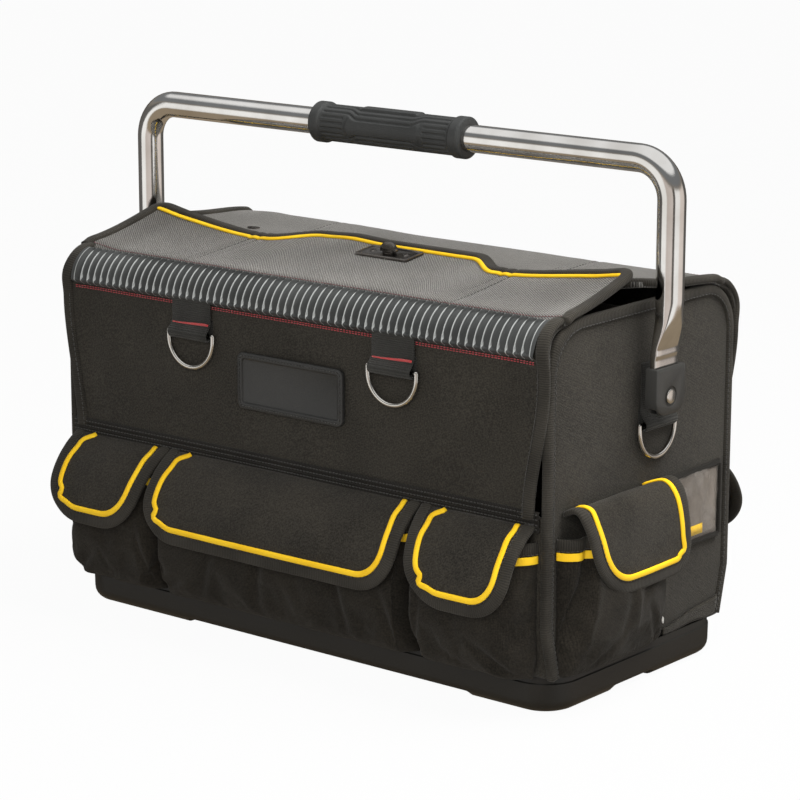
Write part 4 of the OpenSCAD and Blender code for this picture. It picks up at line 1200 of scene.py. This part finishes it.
paint = Paint("card_grey")
slow = paint.noise(25.0, 3.0).ramp(0.3, 0.7)
card_grey = paint.finish(colour=slow.mix((0.13, 0.108, 0.088), (0.30, 0.26, 0.222)), roughness=0.55)
paint = Paint("clear_sheet")
wrinkle = paint.noise(45.0, 4.0)
clear_sheet = paint.finish(colour=(0.30, 0.27, 0.24), roughness=(wrinkle * 0.2 + 0.2).clamp(0, 1),
                           Alpha=(wrinkle.ramp(0.45, 0.75) * 0.30 + 0.10).clamp(0, 1), bump=wrinkle,
                           bump_distance=0.0014)
for piece in window_parts():
    slot = "card_window" if piece.name.endswith(("card", "clear")) else "webbing"
    fit_ends(piece, slot, "id_window_" if piece.name == "card_frame_right" else None)


# Covers: an upright padded board on each side that bends over at the top. The cloth is
# sewn into a broad binding at both ends, which stands clear of the end panel's edge.
cover_y = 125.0
bend_y = 103.0
bend_z = 280.0
bend_r = 22.0
upright = 122.0


def cover_half(s):
    """Half width of the cloth at distance s up from the waist, wider towards the top."""
    return 237.0 + 13.0 * ease(s / 104.0) - 2.5 * ease((s - 116.0) / 30.0)


def cover_at(x, s, lift=0.0):
    """Point on the front cover's outer face, s millimetres up from its lower edge."""
    x = np.asarray(x, float)
    s = np.asarray(s, float) + 0 * x
    angle = np.clip((s - upright) / bend_r, 0, math.pi / 2)
    beyond = np.clip(s - upright - bend_r * math.pi / 2, 0, None)
    edge_lift = 1.2 * ease((np.abs(x) - 222.0) / 16.0)
    ripple = 0.5 * np.sin(x * 0.024 + 0.8) * np.sin(s * 0.05 + 0.5) + 0.3 * np.sin(x * 0.061 + s * 0.04)
    ripple = ripple * ease(s / 12.0) * ease((upright + 5 - s) / 16.0)
    radius = bend_r + lift + edge_lift + ripple
    y = np.where(s <= upright, -bend_y - radius, -bend_y - radius * np.cos(angle) + beyond)
    z = np.where(s <= upright, bend_z - upright + s, bend_z + radius * np.sin(angle))
    return np.stack([x, y, z], axis=-1)


def normal_of(surface, x, s):
    """Outward direction of a surface given as a function of two distances and a lift."""
    out = surface(x, s, 2.0) - surface(x, s, 0.0)
    return out / np.linalg.norm(out, axis=-1, keepdims=True)


cover_end = upright + bend_r * math.pi / 2 + 1.5
rows = np.concatenate([np.linspace(0, upright, 30)[:-1], np.linspace(upright, cover_end, 12)])
grid = [cover_at(np.linspace(-cover_half(s), cover_half(s), 91), s) for s in rows[::-1]]
cover = sheet("front_cover_cloth", grid, (0, -0.7, 0.3), 3.4, nylon)
cover_pieces = [(cover, "board_fabric", "_cover_panel")]
up_line = spaced(np.column_stack([np.linspace(-1.0, cover_end, 60), np.zeros(60)]), 3.0)[:, 0]
for side, end in ((-1, "left"), (1, "right")):
    x = side * (cover_half(up_line) - 3.2)
    high = 0.3 + 2.4 * ease((up_line - 108.0) / 22.0)
    path = cover_at(x, up_line, high)
    ups = normal_of(cover_at, x, up_line)
    binding = sweep("front_cover_binding_" + end, path, ups, oval(10.6, 5.2, -0.4, 16, 3.0), binding_tape)
    cover_pieces.append((binding, "webbing", None))
    keep = up_line < 116.0
    x = side * (cover_half(up_line[keep]) - 7.0)
    path = cover_at(x, up_line[keep], 2.5)
    stitches = stitched("front_cover_binding_stitch_" + end, path, ups[keep], black_thread)
    cover_pieces.append((stitches, "webbing", None))


# Bumpers: moulded rubber strips round the bend of each cover, with rows of rounded
# slots between thin ridges. Red thread holds them below and a fainter row above.
slot_pitch = 7.5
slot_half = 3.4
bumper_half = 240.0
bumper_r = 26.0
paint = Paint("bumper_rubber")
ridges = paint.math("COSINE", paint.place(0) * (1000.0 * 2 * math.pi / slot_pitch)) * -0.5 + 0.5
crest = ridges.ramp(0.945, 0.995)
slow = paint.noise(14.0, 3.0)
# The ridge crests are painted light grey: a painted highlight along each ridge, mixed with slow random tone.
painted_crest_highlight = (crest * 0.85 + slow * 0.2).clamp(0.0, 1.0)
bumper_rubber = paint.finish(colour=painted_crest_highlight.mix((0.0055, 0.006, 0.0061), (0.36, 0.37, 0.36)),
                             roughness=(0.5 - crest * 0.25 + slow * 0.1).clamp(0.05, 1.0),
                             Coat_Weight=crest * 0.9 + 0.06, Coat_Roughness=0.18,
                             Specular_IOR_Level=0.35)
red_thread = thread_material("red_thread", (0.42, 0.035, 0.045))


def bumper_grid(arc):
    """Points of a bumper that reaches arc degrees round the bend."""
    length = bumper_r * math.radians(arc) + 3.0
    steps = np.array([0.0, 1.6, 2.6, 3.0, 3.2, 3.45, 3.65, 3.85, 4.05, 4.3, 4.5, 4.9, 5.9])
    columns = (np.arange(-32, 32)[:, None] * slot_pitch + steps[None, :]).ravel()
    columns = np.append(columns, 32 * slot_pitch)
    grid = []
    for q in np.concatenate([np.linspace(0, 9, 17)[:-1], np.linspace(9, length - 9, 12)[:-1],
                             np.linspace(length - 9, length, 17)]):
        along_x = (columns + slot_pitch / 2) % slot_pitch - slot_pitch / 2
        middle = np.clip(q, 3.6 + slot_half, length - 3.2 - slot_half)
        inside = slot_half - np.hypot(along_x, q - middle)
        slot = ease(inside / 0.9 + 0.3) * ease((bumper_half - 5.0 - np.abs(columns)) / 1.0)
        lip = ease(q / 1.6) * ease((length - q) / 1.6)
        rib = lip * ease((q - 0.8) / 3.0) * ease((length - 0.8 - q) / 3.0) * (1 - slot)
        radius = 22.9 + 1.9 * lip + 2.4 * rib
        angle = max(q - 2.0, 0.0) / bumper_r
        below = min(q - 2.0, 0.0)
        skew = 0.9 * float(ease((11.0 - q) / 8.0)) - 0.9 * float(ease((q - length + 11.0) / 8.0))
        x = np.clip(columns - skew, -bumper_half, bumper_half)
        grid.append(np.stack([x, -bend_y - radius * math.cos(angle),
                              bend_z + below + radius * math.sin(angle)], axis=-1))
    return np.array(grid)[::-1]


bumper = sheet("front_bumper_strip", bumper_grid(80.0), (0, -0.7, 0.7), 0, bumper_rubber)
rear_bumper = mirrored(sheet("bumper_draft", bumper_grid(64.0), (0, -0.7, 0.7), 0, bumper_rubber),
                       "rear_bumper_strip", (1, -1, 1))
bpy.data.objects.remove(bpy.data.objects["bumper_draft"])
fit(bumper, "front_cover", "black_rubber", "front_bumper")
fit(rear_bumper, "rear_cover", "black_rubber", "rear_bumper")
seam_x = np.linspace(-238.0, 238.0, 160)
for number, s in enumerate((upright - 3.5, upright - 5.0)):
    path = cover_at(seam_x, s, 0.5)
    name = "front_bumper_stitch_%d" % number
    cover_pieces.append((stitched(name, path, (0, -1, 0), red_thread, pitch=3.0, length=2.3, radius=0.42),
                         "webbing", None))


# Ring tabs: ribbed webbing from under each bumper, folded round the ring's bar and
# tacked above it with a dense bar of red thread. The covers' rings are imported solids; the
# ends' rings are copies of theirs, with rounded edges and a little further back.
webbing = ribbed_tape("webbing_black", (0.006, 0.0058, 0.0052), (0.042, 0.041, 0.037), rib=1.7,
                      sheen=0.15, bump=0.0006)


def metal(name, dark, light, roughness, scale=60.0):
    """Plated metal with slow changes of tone and gloss and fine scratches."""
    paint = Paint(name)
    slow = paint.noise(scale, 3.0).ramp(0.3, 0.7)
    fine = paint.noise(2500.0, 1.0)
    return paint.finish(colour=slow.mix(dark, light), metallic=1.0,
                        roughness=(slow * 0.06 + fine * 0.05 + (roughness - 0.05)).clamp(0.02, 1.0),
                        bump=fine, bump_distance=0.00002)


bright_nickel = metal("bright_nickel", (0.58, 0.56, 0.52), (0.74, 0.72, 0.68), 0.16)
# This nickel is painted dark: a painted reflection of dark surroundings, for the lock parts and the stud.
dark_nickel = metal("dark_nickel", (0.13, 0.12, 0.11), (0.24, 0.225, 0.21), 0.22)


ring_tab_x = 105.0
loop_r = 3.6


def tab_parts(name, top_z, loop_z, back):
    """Strap and tack in a frame with out along -Y and the strap's middle at x 0."""
    bar_y = back - 4.1
    turn = np.radians(np.linspace(30, -200, 22))
    loop = [(bar_y - loop_r * math.cos(a), loop_z + loop_r * math.sin(a)) for a in turn]
    line = [(back - 1.6, top_z), (back - 1.7, loop_z + 14), (back - 2.2, loop_z + 8.5)] + loop + [
        (back - 0.3, loop_z + 4.5), (back - 0.3, loop_z + 12.0)]
    line = curved(line, 1.2)
    path = np.column_stack([np.zeros(len(line)), line])
    ahead = np.gradient(path, axis=0)
    ups = np.cross((1, 0, 0), ahead)
    ups = ups / np.linalg.norm(ups, axis=1)[:, None]
    if ups[0, 1] > 0:
        ups = -ups
    strap = sweep(name, path, ups, flat_tape(42.0, 1.5), webbing)
    x = np.linspace(-19.5, 19.5, 24)
    tilt = 0.8 * np.sin(x * 0.09)
    path = np.column_stack([x, np.full(24, back - 4.0), loop_z + 8.0 + tilt])
    tack = sweep(name + "_tack", path, (0, -1, 0), oval(2.2, 1.4, 0, 8, 2.2), red_tack)
    return [strap, tack]


red_tack = ribbed_tape("red_tack", (0.32, 0.02, 0.025), (0.62, 0.07, 0.07), rib=0.9, mottle=0.2)
tab = tab_parts("ring_tab", 282.0, 253.0, -cover_y - 0.4)
for piece in tab:
    for out, side in both_sides:
        for x, spot in ((-ring_tab_x, "left"), (ring_tab_x, "right")):
            node = side + "_ring_tab_" + spot
            name, main = renamed(piece, node, "strap")
            made = placed(piece, name, 0.0, (x, 0, 0), (1, out, 1))
            fit(made, side + "_cover", "webbing", *([node] if main else []))
for name in ("front_ring_left", "front_ring_right", "rear_ring_left", "rear_ring_right"):
    dress(nodes[name], bright_nickel)
end_tab = tab_parts("end_tab", 258.0, 209.0, -0.4)
for out, side in both_ends:
    node = "end_ring_tab_" + side
    fit(end_copy(end_tab[0], node + "_strap", (249.0 + 0.6, 12.5, 0), out), "bag", "webbing", node)
for side in ("right", "left"):
    ring = softened("end_ring_" + side, "end_ring_wire_" + side, 0.0001, 1)
    ring.data.transform(Matrix.Translation((0, 0.0135, 0)))
    ring.data.materials.append(bright_nickel)
    fit(ring, "end_ring_" + side + "_body", "nickel_plate", "end_ring_" + side)
discard(tab + end_tab)


# Badge on the front: a moulded rubber plate with a raised rim, sewn on and left bare.
badge_rubber = moulded("badge_rubber", (0.018, 0.018, 0.017), (0.034, 0.033, 0.031), 0.42, 1000.0)
badge = softened("front_badge", "badge", 0.0008, 3)
badge.data.materials.append(badge_rubber)
fit(badge, "front_cover", "black_rubber", "front_badge")
outline = []
for x, z, start in ((49.0, 239.0, 0), (-49.0, 239.0, 90), (-49.0, 205.0, 180), (49.0, 205.0, 270)):
    for angle in np.radians(np.linspace(start, start + 90, 6)):
        outline.append((x + 3.5 * math.cos(angle), -129.25, z + 3.5 * math.sin(angle)))
outline.append(outline[0])
badge_stitch = stitched("badge_stitch", spaced(outline, 1.5), (0, -1, 0), black_thread, 3.2, 2.4, 0.34)
fit(badge_stitch, "front_cover", "webbing")

for piece, slot, node in cover_pieces:
    rear = mirrored(piece, piece.name.replace("front", "rear"), (1, -1, 1))
    for made, side in ((piece, "front"), (rear, "rear")):
        fit(made, side + "_cover", slot, *([side + node] if node else []))


# Lids: padded panels from the covers' folds to the middle. The front one has a tab over
# the lock, a broad binding that stands proud at the corners, and a yellow piping inside it.
fold_y = 101.0
fold_z = 302.0
front_slope = math.radians(8.0)
rear_slope = math.radians(4.5)
wing_reach = 88.0
tab_reach = 24.3
rear_wing_reach = 113.5
rear_tab_reach = -24.0
lid_seams = (127.0, 136.0)
tab_half = 119.0
shoulder = 40.0
# The lid cloth is the body's nylon painted about three times lighter: painted light from above on the lids'
# top faces.
lid_cloth = woven("lid_cloth", (0.008, 0.0075, 0.0065), (0.175, 0.164, 0.149), thread=0.68, twill=0.85,
                  sheen=0.5, bump=0.00045, contrast=0.85)


def tab_share(x):
    """1 on the tab, 0 on the wings, smooth on the shoulders between."""
    return ease((tab_half - np.abs(x)) / shoulder)


def lid_half(u, reach):
    """Half width of a lid at distance u from its fold."""
    return 249.5 - 2.5 * np.clip(u / reach, 0, 1.2)


def seam_groove(x):
    """Depth of the two seams that run down each side of a lid."""
    return 0.9 * sum(np.exp(-((np.abs(x) - seam) / 1.6) ** 2) for seam in lid_seams)


def front_lid_at(x, u, lift=0.0):
    """Point on the front lid's upper face at distance u from the fold."""
    x = np.asarray(x, float)
    u = np.asarray(u, float) + 0 * x
    share = np.clip(u / wing_reach, -0.05, 1.4)
    ends = ease((np.abs(x) - 128.0) / 128.0)
    raised = (4.2 * ease((np.abs(x) - 212.0) / 40.0) * (1 - 0.4 * share)
              + 12.5 * ends * np.clip(share, 0, 1.2) ** 1.5)
    ripple = 0.6 * np.sin(x * 0.026) * np.sin(u * 0.055) * ease(np.abs(x) / 60.0)
    tab_wave = 1.6 * np.exp(-((x + 45.0) / 22.0) ** 2) - 0.5 * np.exp(-((x + 140.0) / 20.0) ** 2)
    tab_wave = tab_wave * ease((u - 60) / 50.0)
    fold = 2.0 * ease((u + 3.0) / 9.0) * np.exp(-np.maximum(u - 8.0, 0.0) / 30.0)
    rise = raised + ripple + tab_wave + fold - seam_groove(x) + lift
    return np.stack([x, -fold_y + u * math.cos(front_slope) - rise * math.sin(front_slope) * 0.6,
                     fold_z + u * math.sin(front_slope) + rise], axis=-1)


def rear_lid_at(x, u, lift=0.0):
    """Point on the rear lid's upper face, in the front's own frame with the fold at -Y."""
    x = np.asarray(x, float)
    u = np.asarray(u, float) + 0 * x
    share = np.clip(u / rear_wing_reach, -0.05, 1.2)
    ends = ease((np.abs(x) - 192.0) / 62.0)
    raised = ends * (3.6 + 7.0 * np.clip(share, 0, 1) ** 1.5)
    ripple = 0.5 * np.sin(x * 0.021 + 1.0) * np.sin(u * 0.045)
    puff = (6.5 + 2.2 * ease((-x - 40.0) / 90.0)) * (1 - 0.55 * ease((np.abs(x) - 205.0) / 45.0))
    fold = puff * ease((u + 3.0) / 8.0) * np.exp(-(np.maximum(u - 8.0, 0.0) / 42.0) ** 2)
    rise = raised + ripple + fold - seam_groove(x) + lift
    return np.stack([x, -fold_y + u * math.cos(rear_slope),
                     fold_z + u * math.sin(rear_slope) + rise], axis=-1)


def lid_parts(side, surface, reach, tab):
    """Cloth, binding and stitched seams of one lid, with its fold towards -Y."""
    parts = []

    def sew(piece):
        parts.append((piece, "webbing", False))

    shares = np.linspace(-1, 1, 121)
    grid = []
    for t in np.linspace(1.0, 0.0, 34):
        half = lid_half(t * reach, reach)
        x = shares * half
        free = reach + tab * tab_share(x) - 3.0
        grid.append(surface(x, -3.0 + (free + 3.0) * t))
    parts.append((sheet(side + "_lid_cloth", grid, (0, 0, 1), 4.2, lid_cloth), "board_fabric", True))
    corner = 10.0 if side == "front" else 24.0
    half = lid_half(reach, reach) - 1.0
    out_u = reach + 0.5
    left = [(-lid_half(u, reach) + 1.0, u) for u in np.linspace(-3.0, out_u - corner, 24)]
    turn = np.radians(np.linspace(180, 90, 8))
    left += [(-half + corner + corner * math.cos(a), out_u - corner + corner * math.sin(a)) for a in turn]
    x = np.linspace(-half + corner, half - corner, 150)[1:-1]
    middle = np.column_stack([x, out_u + tab * tab_share(x)])
    line = spaced(np.vstack([left, middle, np.array(left)[::-1] * [-1, 1]]), 2.5)
    path = surface(line[:, 0], line[:, 1], 0.4)
    ups = normal_of(surface, line[:, 0], line[:, 1])
    sew(sweep(side + "_lid_binding", path, ups, oval(9.6, 6.2, -0.7, 16, 2.8), binding_tape))
    for sign, end in ((-1, "left"), (1, "right")):
        u = np.linspace(2.0, reach - 12.0, 60)
        x = sign * (lid_half(u, reach) - 4.6)
        sew(stitched("%s_lid_edge_stitch_%s" % (side, end), surface(x, u, 1.9), normal_of(surface, x, u),
                     black_thread))
        for number, seam in enumerate(lid_seams):
            u = np.linspace(0.0, reach + tab * float(tab_share(np.array(seam))) - 8.0, 50)
            x = np.full(50, sign * seam)
            sew(stitched("%s_lid_seam_%d_%s" % (side, number, end), surface(x, u, 0.1),
                         normal_of(surface, x, u), black_thread))
    x = np.linspace(-244, 244, 160)
    sew(stitched(side + "_lid_fold_stitch", surface(x, 2.5, 0.25), (0, 0, 1), faded_thread, 3.0, 2.2, 0.34))
    return parts


faded_thread = thread_material("faded_red_thread", (0.16, 0.045, 0.055))
front_parts = lid_parts("front", front_lid_at, wing_reach, tab_reach)
x = np.concatenate([np.linspace(-243, -125, 40)[:-1], np.linspace(-125, -75, 34)[:-1],
                    np.linspace(-75, 75, 40)[:-1], np.linspace(75, 125, 34)[:-1], np.linspace(125, 243, 40)])
line = spaced(np.column_stack([x, wing_reach - 7.0 + tab_reach * tab_share(x)]), 2.0)
path = front_lid_at(line[:, 0], line[:, 1], 0.7)
piping = sweep("front_lid_piping", path, normal_of(front_lid_at, line[:, 0], line[:, 1]),
               oval(4.6, 2.6, 0.2, 12, 2.2), yellow_tape)
for piece, slot, whole in front_parts + [(piping, "yellow_piping", None)]:
    names = ["front_lid_panel"] if whole else ["front_lid_piping"] if whole is None else []
    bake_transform(piece)
    if names:
        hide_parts(*names)
for piece, slot, whole in lid_parts("rear", rear_lid_at, rear_wing_reach, rear_tab_reach):
    made = flipped(piece, (1, -1, 1))
    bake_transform(made)
    if whole:
        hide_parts("rear_lid_panel")


# Turn lock on the tab: a plate with a stepped edge, two cross-head screws and a thumb
# piece that turns a cam under the keeper on the divider. A metal stud is set in the rear lid.
# The lock parts and the stud get the nickel that is painted dark as a painted reflection.
for node, width in (("lock_plate", 0.0004), ("lock_knob", 0.0005), ("lock_keeper", 0.0002),
                    ("press_stud", 0.0003)):
    piece = softened(node, node + "_metal", width)
    piece.data.materials.append(dark_nickel)
    body = {"lock_plate": "front_lid", "lock_knob": "lock_turn_piece", "lock_keeper": "bag",
            "press_stud": "rear_lid"}[node]
    fit(piece, body, "nickel_plate", node)
dress(nodes["lock_screws"], dark_nickel)


# Handle: one chromed steel tube, bent twice and pressed flat at both ends, where it
# creases and runs down to its pivots. It is made as one skin along the tube's line.
chrome = metal("chrome_finish", (0.66, 0.64, 0.61), (0.84, 0.83, 0.81), 0.05, 25.0)
tube_r = 11.0
leg_x = 271.0
bar_z = 414.0
tube_bend_r = 30.0
flat_x = 267.0
crease_z = 264.0
round_z = 309.0
foot_z = 234.0
foot_r = 12.4
pressed_depth = 3.0
pressed_breadth = 15.0

leg = [(leg_x, z) for z in np.linspace(round_z, bar_z - tube_bend_r, 12)]
turn = np.radians(np.linspace(0, 90, 15))[1:]
leg += [(leg_x - tube_bend_r + tube_bend_r * math.cos(a), bar_z - tube_bend_r + tube_bend_r * math.sin(a))
        for a in turn]
half_line = [(flat_x, z) for z in (foot_z - foot_r, foot_z - 12.1, foot_z - 10.8, foot_z - 8.8, foot_z - 6.2,
                                   foot_z - 3.2, foot_z, 245.0, 256.0, 261.5)]
press = np.linspace(crease_z, round_z, 22)
half_line += [(flat_x + (leg_x - flat_x) * float(ease((z - crease_z) / 32.0)), z) for z in press[:-1]]
half_line += leg
half_line = np.array(half_line)
whole = np.vstack([half_line, half_line[::-1] * [-1, 1]])
turn = np.radians(np.arange(0, 360, 360 / 56))
sections = []
for x, z in whole:
    pressed = 1 - float(ease((z - crease_z) / (round_z - crease_z)))
    if z <= crease_z:
        pressed = 1.0
    crease = 0.9 * math.exp(-((z - crease_z - 3.0) / 2.2) ** 2)
    depth = tube_r + (pressed_depth - tube_r) * pressed ** 0.8 + crease
    breadth = tube_r + (pressed_breadth - tube_r) * pressed
    if z < foot_z:
        breadth = max(pressed_breadth * math.sqrt(max(1 - ((foot_z - z) / foot_r) ** 2, 0.0)), 1.2)
    power = 2 / (2 + 5.0 * pressed ** 1.3)
    c, s = np.cos(turn), np.sin(turn)
    sections.append(np.stack([breadth * np.sign(c) * np.abs(c) ** power,
                              depth * np.sign(s) * np.abs(s) ** power], axis=1))
path = np.column_stack([whole[:, 0], np.zeros(len(whole)), whole[:, 1]])
ahead = np.gradient(path, axis=0)
ups = np.cross(ahead, (0, 1, 0))
tube = sweep("handle_tube_skin", path, ups, np.array(sections), chrome)
pick(tube)
bpy.ops.object.shade_smooth_by_angle(angle=math.radians(50))
fit(tube, "handle", "chrome_tube", "handle_tube")


# Grip: a moulded rubber sleeve on the bar, with a collar at each end. Grooves run along it
# near the ends, step aside and frame a raised panel in the middle; a bare pad lies on top.
grip_rubber = moulded("grip_rubber", (0.021, 0.022, 0.0215), (0.040, 0.041, 0.040), 0.46, 900.0)
grip_half = 77.5
grip_r = 15.3
grip_girth = 97.4
bore_share = 11.05 / 15.5
groove_pitch = 4.8
columns = np.concatenate([np.linspace(-grip_half, -66.0, 16)[:-1], np.linspace(-66.0, 66.0, 150)[:-1],
                          np.linspace(66.0, grip_half, 16)])
angles = np.radians(np.arange(0, 360, 2.0))
grid = []
for x in columns:
    far = abs(x)
    collar = float(ease((far - 66.5) / 1.8)) * 1.6 - 1.5 * float(ease((far - 76.0) / 1.5))
    from_top = np.abs((np.degrees(angles) + 180) % 360 - 180) / 180 * math.pi * grip_r
    aside = np.minimum(from_top, math.pi * grip_r - from_top)
    step = groove_pitch * float(ease((40.0 - far) / 13.0))
    groove = np.zeros_like(aside)
    for number in range(5):
        shown = 1.0 if number < 3 else float(ease((far - 41.0) / 1.5))
        middle = groove_pitch * (number + 0.5) + (step if number < 3 else 0.0)
        groove = np.maximum(groove, shown * (1 - ease((np.abs(aside - middle) - 0.5) / 0.7)))
    groove = groove * float(ease((65.0 - far) / 1.0))
    panel = (ease((aside - groove_pitch * 2.5 - step - 1.0) / 0.9)
             * ease((41.0 - far - 0.35 * (24.0 - aside)) / 4.0))
    pad = ease((6.2 - from_top) / 0.9) * float(ease((29.0 - far) / 1.5))
    radius = grip_r + collar - 1.0 * groove + 0.9 * panel + 1.1 * pad
    grid.append(np.stack([np.full_like(angles, x), radius * np.sin(angles),
                          bar_z + radius * np.cos(angles)], axis=1))
grid = np.array(grid)
first = grid[0].copy()
first[:, 1:] = (first[:, 1:] - [0, bar_z]) * bore_share + [0, bar_z]
last = first * [-1, 1, 1]
grid = np.vstack([first[None], grid, last[None]])
across = np.broadcast_to(np.linspace(0, grip_girth, len(angles) + 1), (len(grid), len(angles) + 1))
down = np.broadcast_to(grid[:, 0, 0][:, None] + 80.0, (len(grid), len(angles) + 1))
grip = grid_mesh("handle_grip_sleeve", grid, across, down, wrap=True)
faces_outward(grip)
if grip.data.polygons[len(angles) * 40].normal.z < 0:
    grip.data.flip_normals()
grip.data.materials.append(grip_rubber)
fit(grip, "handle", "black_rubber", "handle_grip")


# Shields: moulded plastic caps over the tube's pressed ends, square above and rounded
# below, held by domed steel rivets that sit in a moulded ring.
pivot_z = 0.234


def start_disc(radius, depth, x):
    """A disc across X at the pivot's height, in metres, with its place in its mesh."""
    bpy.ops.object.select_all(action="DESELECT")
    bpy.ops.mesh.primitive_cylinder_add(vertices=40, radius=radius, depth=depth,
                                        location=(x, 0, pivot_z), rotation=(0, math.pi / 2, 0))
    bpy.ops.object.transform_apply(location=True, rotation=True, scale=True)
    return bpy.context.object


cap_plastic = moulded("cap_plastic", (0.026, 0.0255, 0.0235), (0.043, 0.042, 0.039), 0.40, 1200.0)
cap = start_box("handle_shield_right", (262.2, -17.6, 219.6), (272.9, 20.4, 257.0))
select_part("edges", lambda middle, toward: abs(toward.x) > 0.9 and middle.z < 223.0)
bpy.ops.mesh.bevel(offset=0.0125, segments=9, affect="EDGES")
select_part("edges", lambda middle, toward: abs(toward.x) > 0.9 and middle.z > 252.0)
bpy.ops.mesh.bevel(offset=0.0018, segments=2, affect="EDGES")
select_part("faces", lambda middle, toward: toward.x > 0.9)
bpy.ops.mesh.inset(thickness=0.0022)
bpy.ops.transform.translate(value=(0.0011, 0, 0))
bpy.ops.object.mode_set(mode="OBJECT")
slot_cut = start_box("slot_cut", (263.6, -15.4, 221.0), (270.4, 15.4, 270.0))
bpy.ops.object.mode_set(mode="OBJECT")
boolean(cap, slot_cut)
boolean(cap, start_disc(0.0078, 0.0016, 0.2739))
finish_hard(cap, cap_plastic, 0.0007, 3)
other = mirrored(cap, "handle_shield_left", (-1, 1, 1))
for made, side in ((cap, "right"), (other, "left")):
    fit(made, "handle", "black_rubber", "handle_cap_" + side)
rivet = start_disc(0.0057, 0.0018, 0.2738)
rivet.name = "pivot_rivet_right"
bpy.ops.object.mode_set(mode="EDIT")
select_part("faces", lambda middle, toward: toward.x > 0.9)
bpy.ops.mesh.inset(thickness=0.0012)
bpy.ops.transform.translate(value=(0.0005, 0, 0))
select_part("faces", lambda middle, toward: toward.x < -0.9)
bpy.ops.mesh.inset(thickness=0.0022)
bpy.ops.mesh.extrude_region_move(TRANSFORM_OT_translate={"value": (-0.0279, 0, 0)})
bpy.ops.mesh.extrude_region_move()
bpy.ops.transform.resize(value=(1, 2.8, 2.8), center_override=(0.245, 0, pivot_z))
bpy.ops.mesh.extrude_region_move(TRANSFORM_OT_translate={"value": (-0.0014, 0, 0)})
bpy.ops.object.mode_set(mode="OBJECT")
finish_hard(rivet, bright_nickel, 0.0004, 3)
other = mirrored(rivet, "pivot_rivet_left", (-1, 1, 1))
fit(rivet, "bag", "nickel_plate", "pivot_rivets")
fit(other, "bag", "nickel_plate")


# Inside: a stiff board between the two sides, bound along its top, with a row of open
# pockets sewn to each face.
divider_half_x = 244.5
divider_top_z = 294.0
pocket_pitch = 143.5
rows = np.linspace(divider_top_z, 12.0, 40)
columns = np.linspace(-divider_half_x, divider_half_x, 60)
divider = sheet("divider_board", [[(x, -2.4, z) for x in columns] for z in rows], (0, -1, 0), 4.8, nylon)
fit(divider, "bag", "board_fabric", "centre_divider")
path = np.array([(x, 0.0, divider_top_z + 0.5) for x in np.linspace(-divider_half_x, divider_half_x, 80)])
divider_edge = sweep("divider_binding", path, (0, 0, 1), oval(6.6, 7.0, 0.0, 14, 2.6), binding_tape)
fit(divider_edge, "bag", "webbing")
for out, side in both_sides:
    rings = []
    for z in np.linspace(150.0, 18.0, 20):
        line = []
        for k in range(3):
            middle = (k - 1) * pocket_pitch
            share = np.linspace(-1, 1, 41)
            swell = 29.0 * (1 - np.abs(share) ** 7.0) ** 0.5
            line.append(np.stack([middle + share * 71.6, -(3.0 + swell), np.full(41, z)], axis=1))
        rings.append(np.vstack(line))
    inner = sheet("inner_pockets_" + side, rings, (0, -1, 0), 1.8, soft_nylon)
    top = rings[0] + [0, 0, -3.0]
    edge_tape = sweep("inner_pocket_tape_" + side, top, (0, -1, 0), oval(7.0, 3.4, -0.2, 8, 2.4),
                      binding_tape)
    for piece, replaced in ((inner, ["inner_pockets_" + side]), (edge_tape, [])):
        made = flipped(piece, (1, -1, 1)) if out < 0 else piece
        fit(made, "bag", "pocket_fabric", *replaced)


# Bounds of all shown pieces but the floor.
low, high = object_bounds()
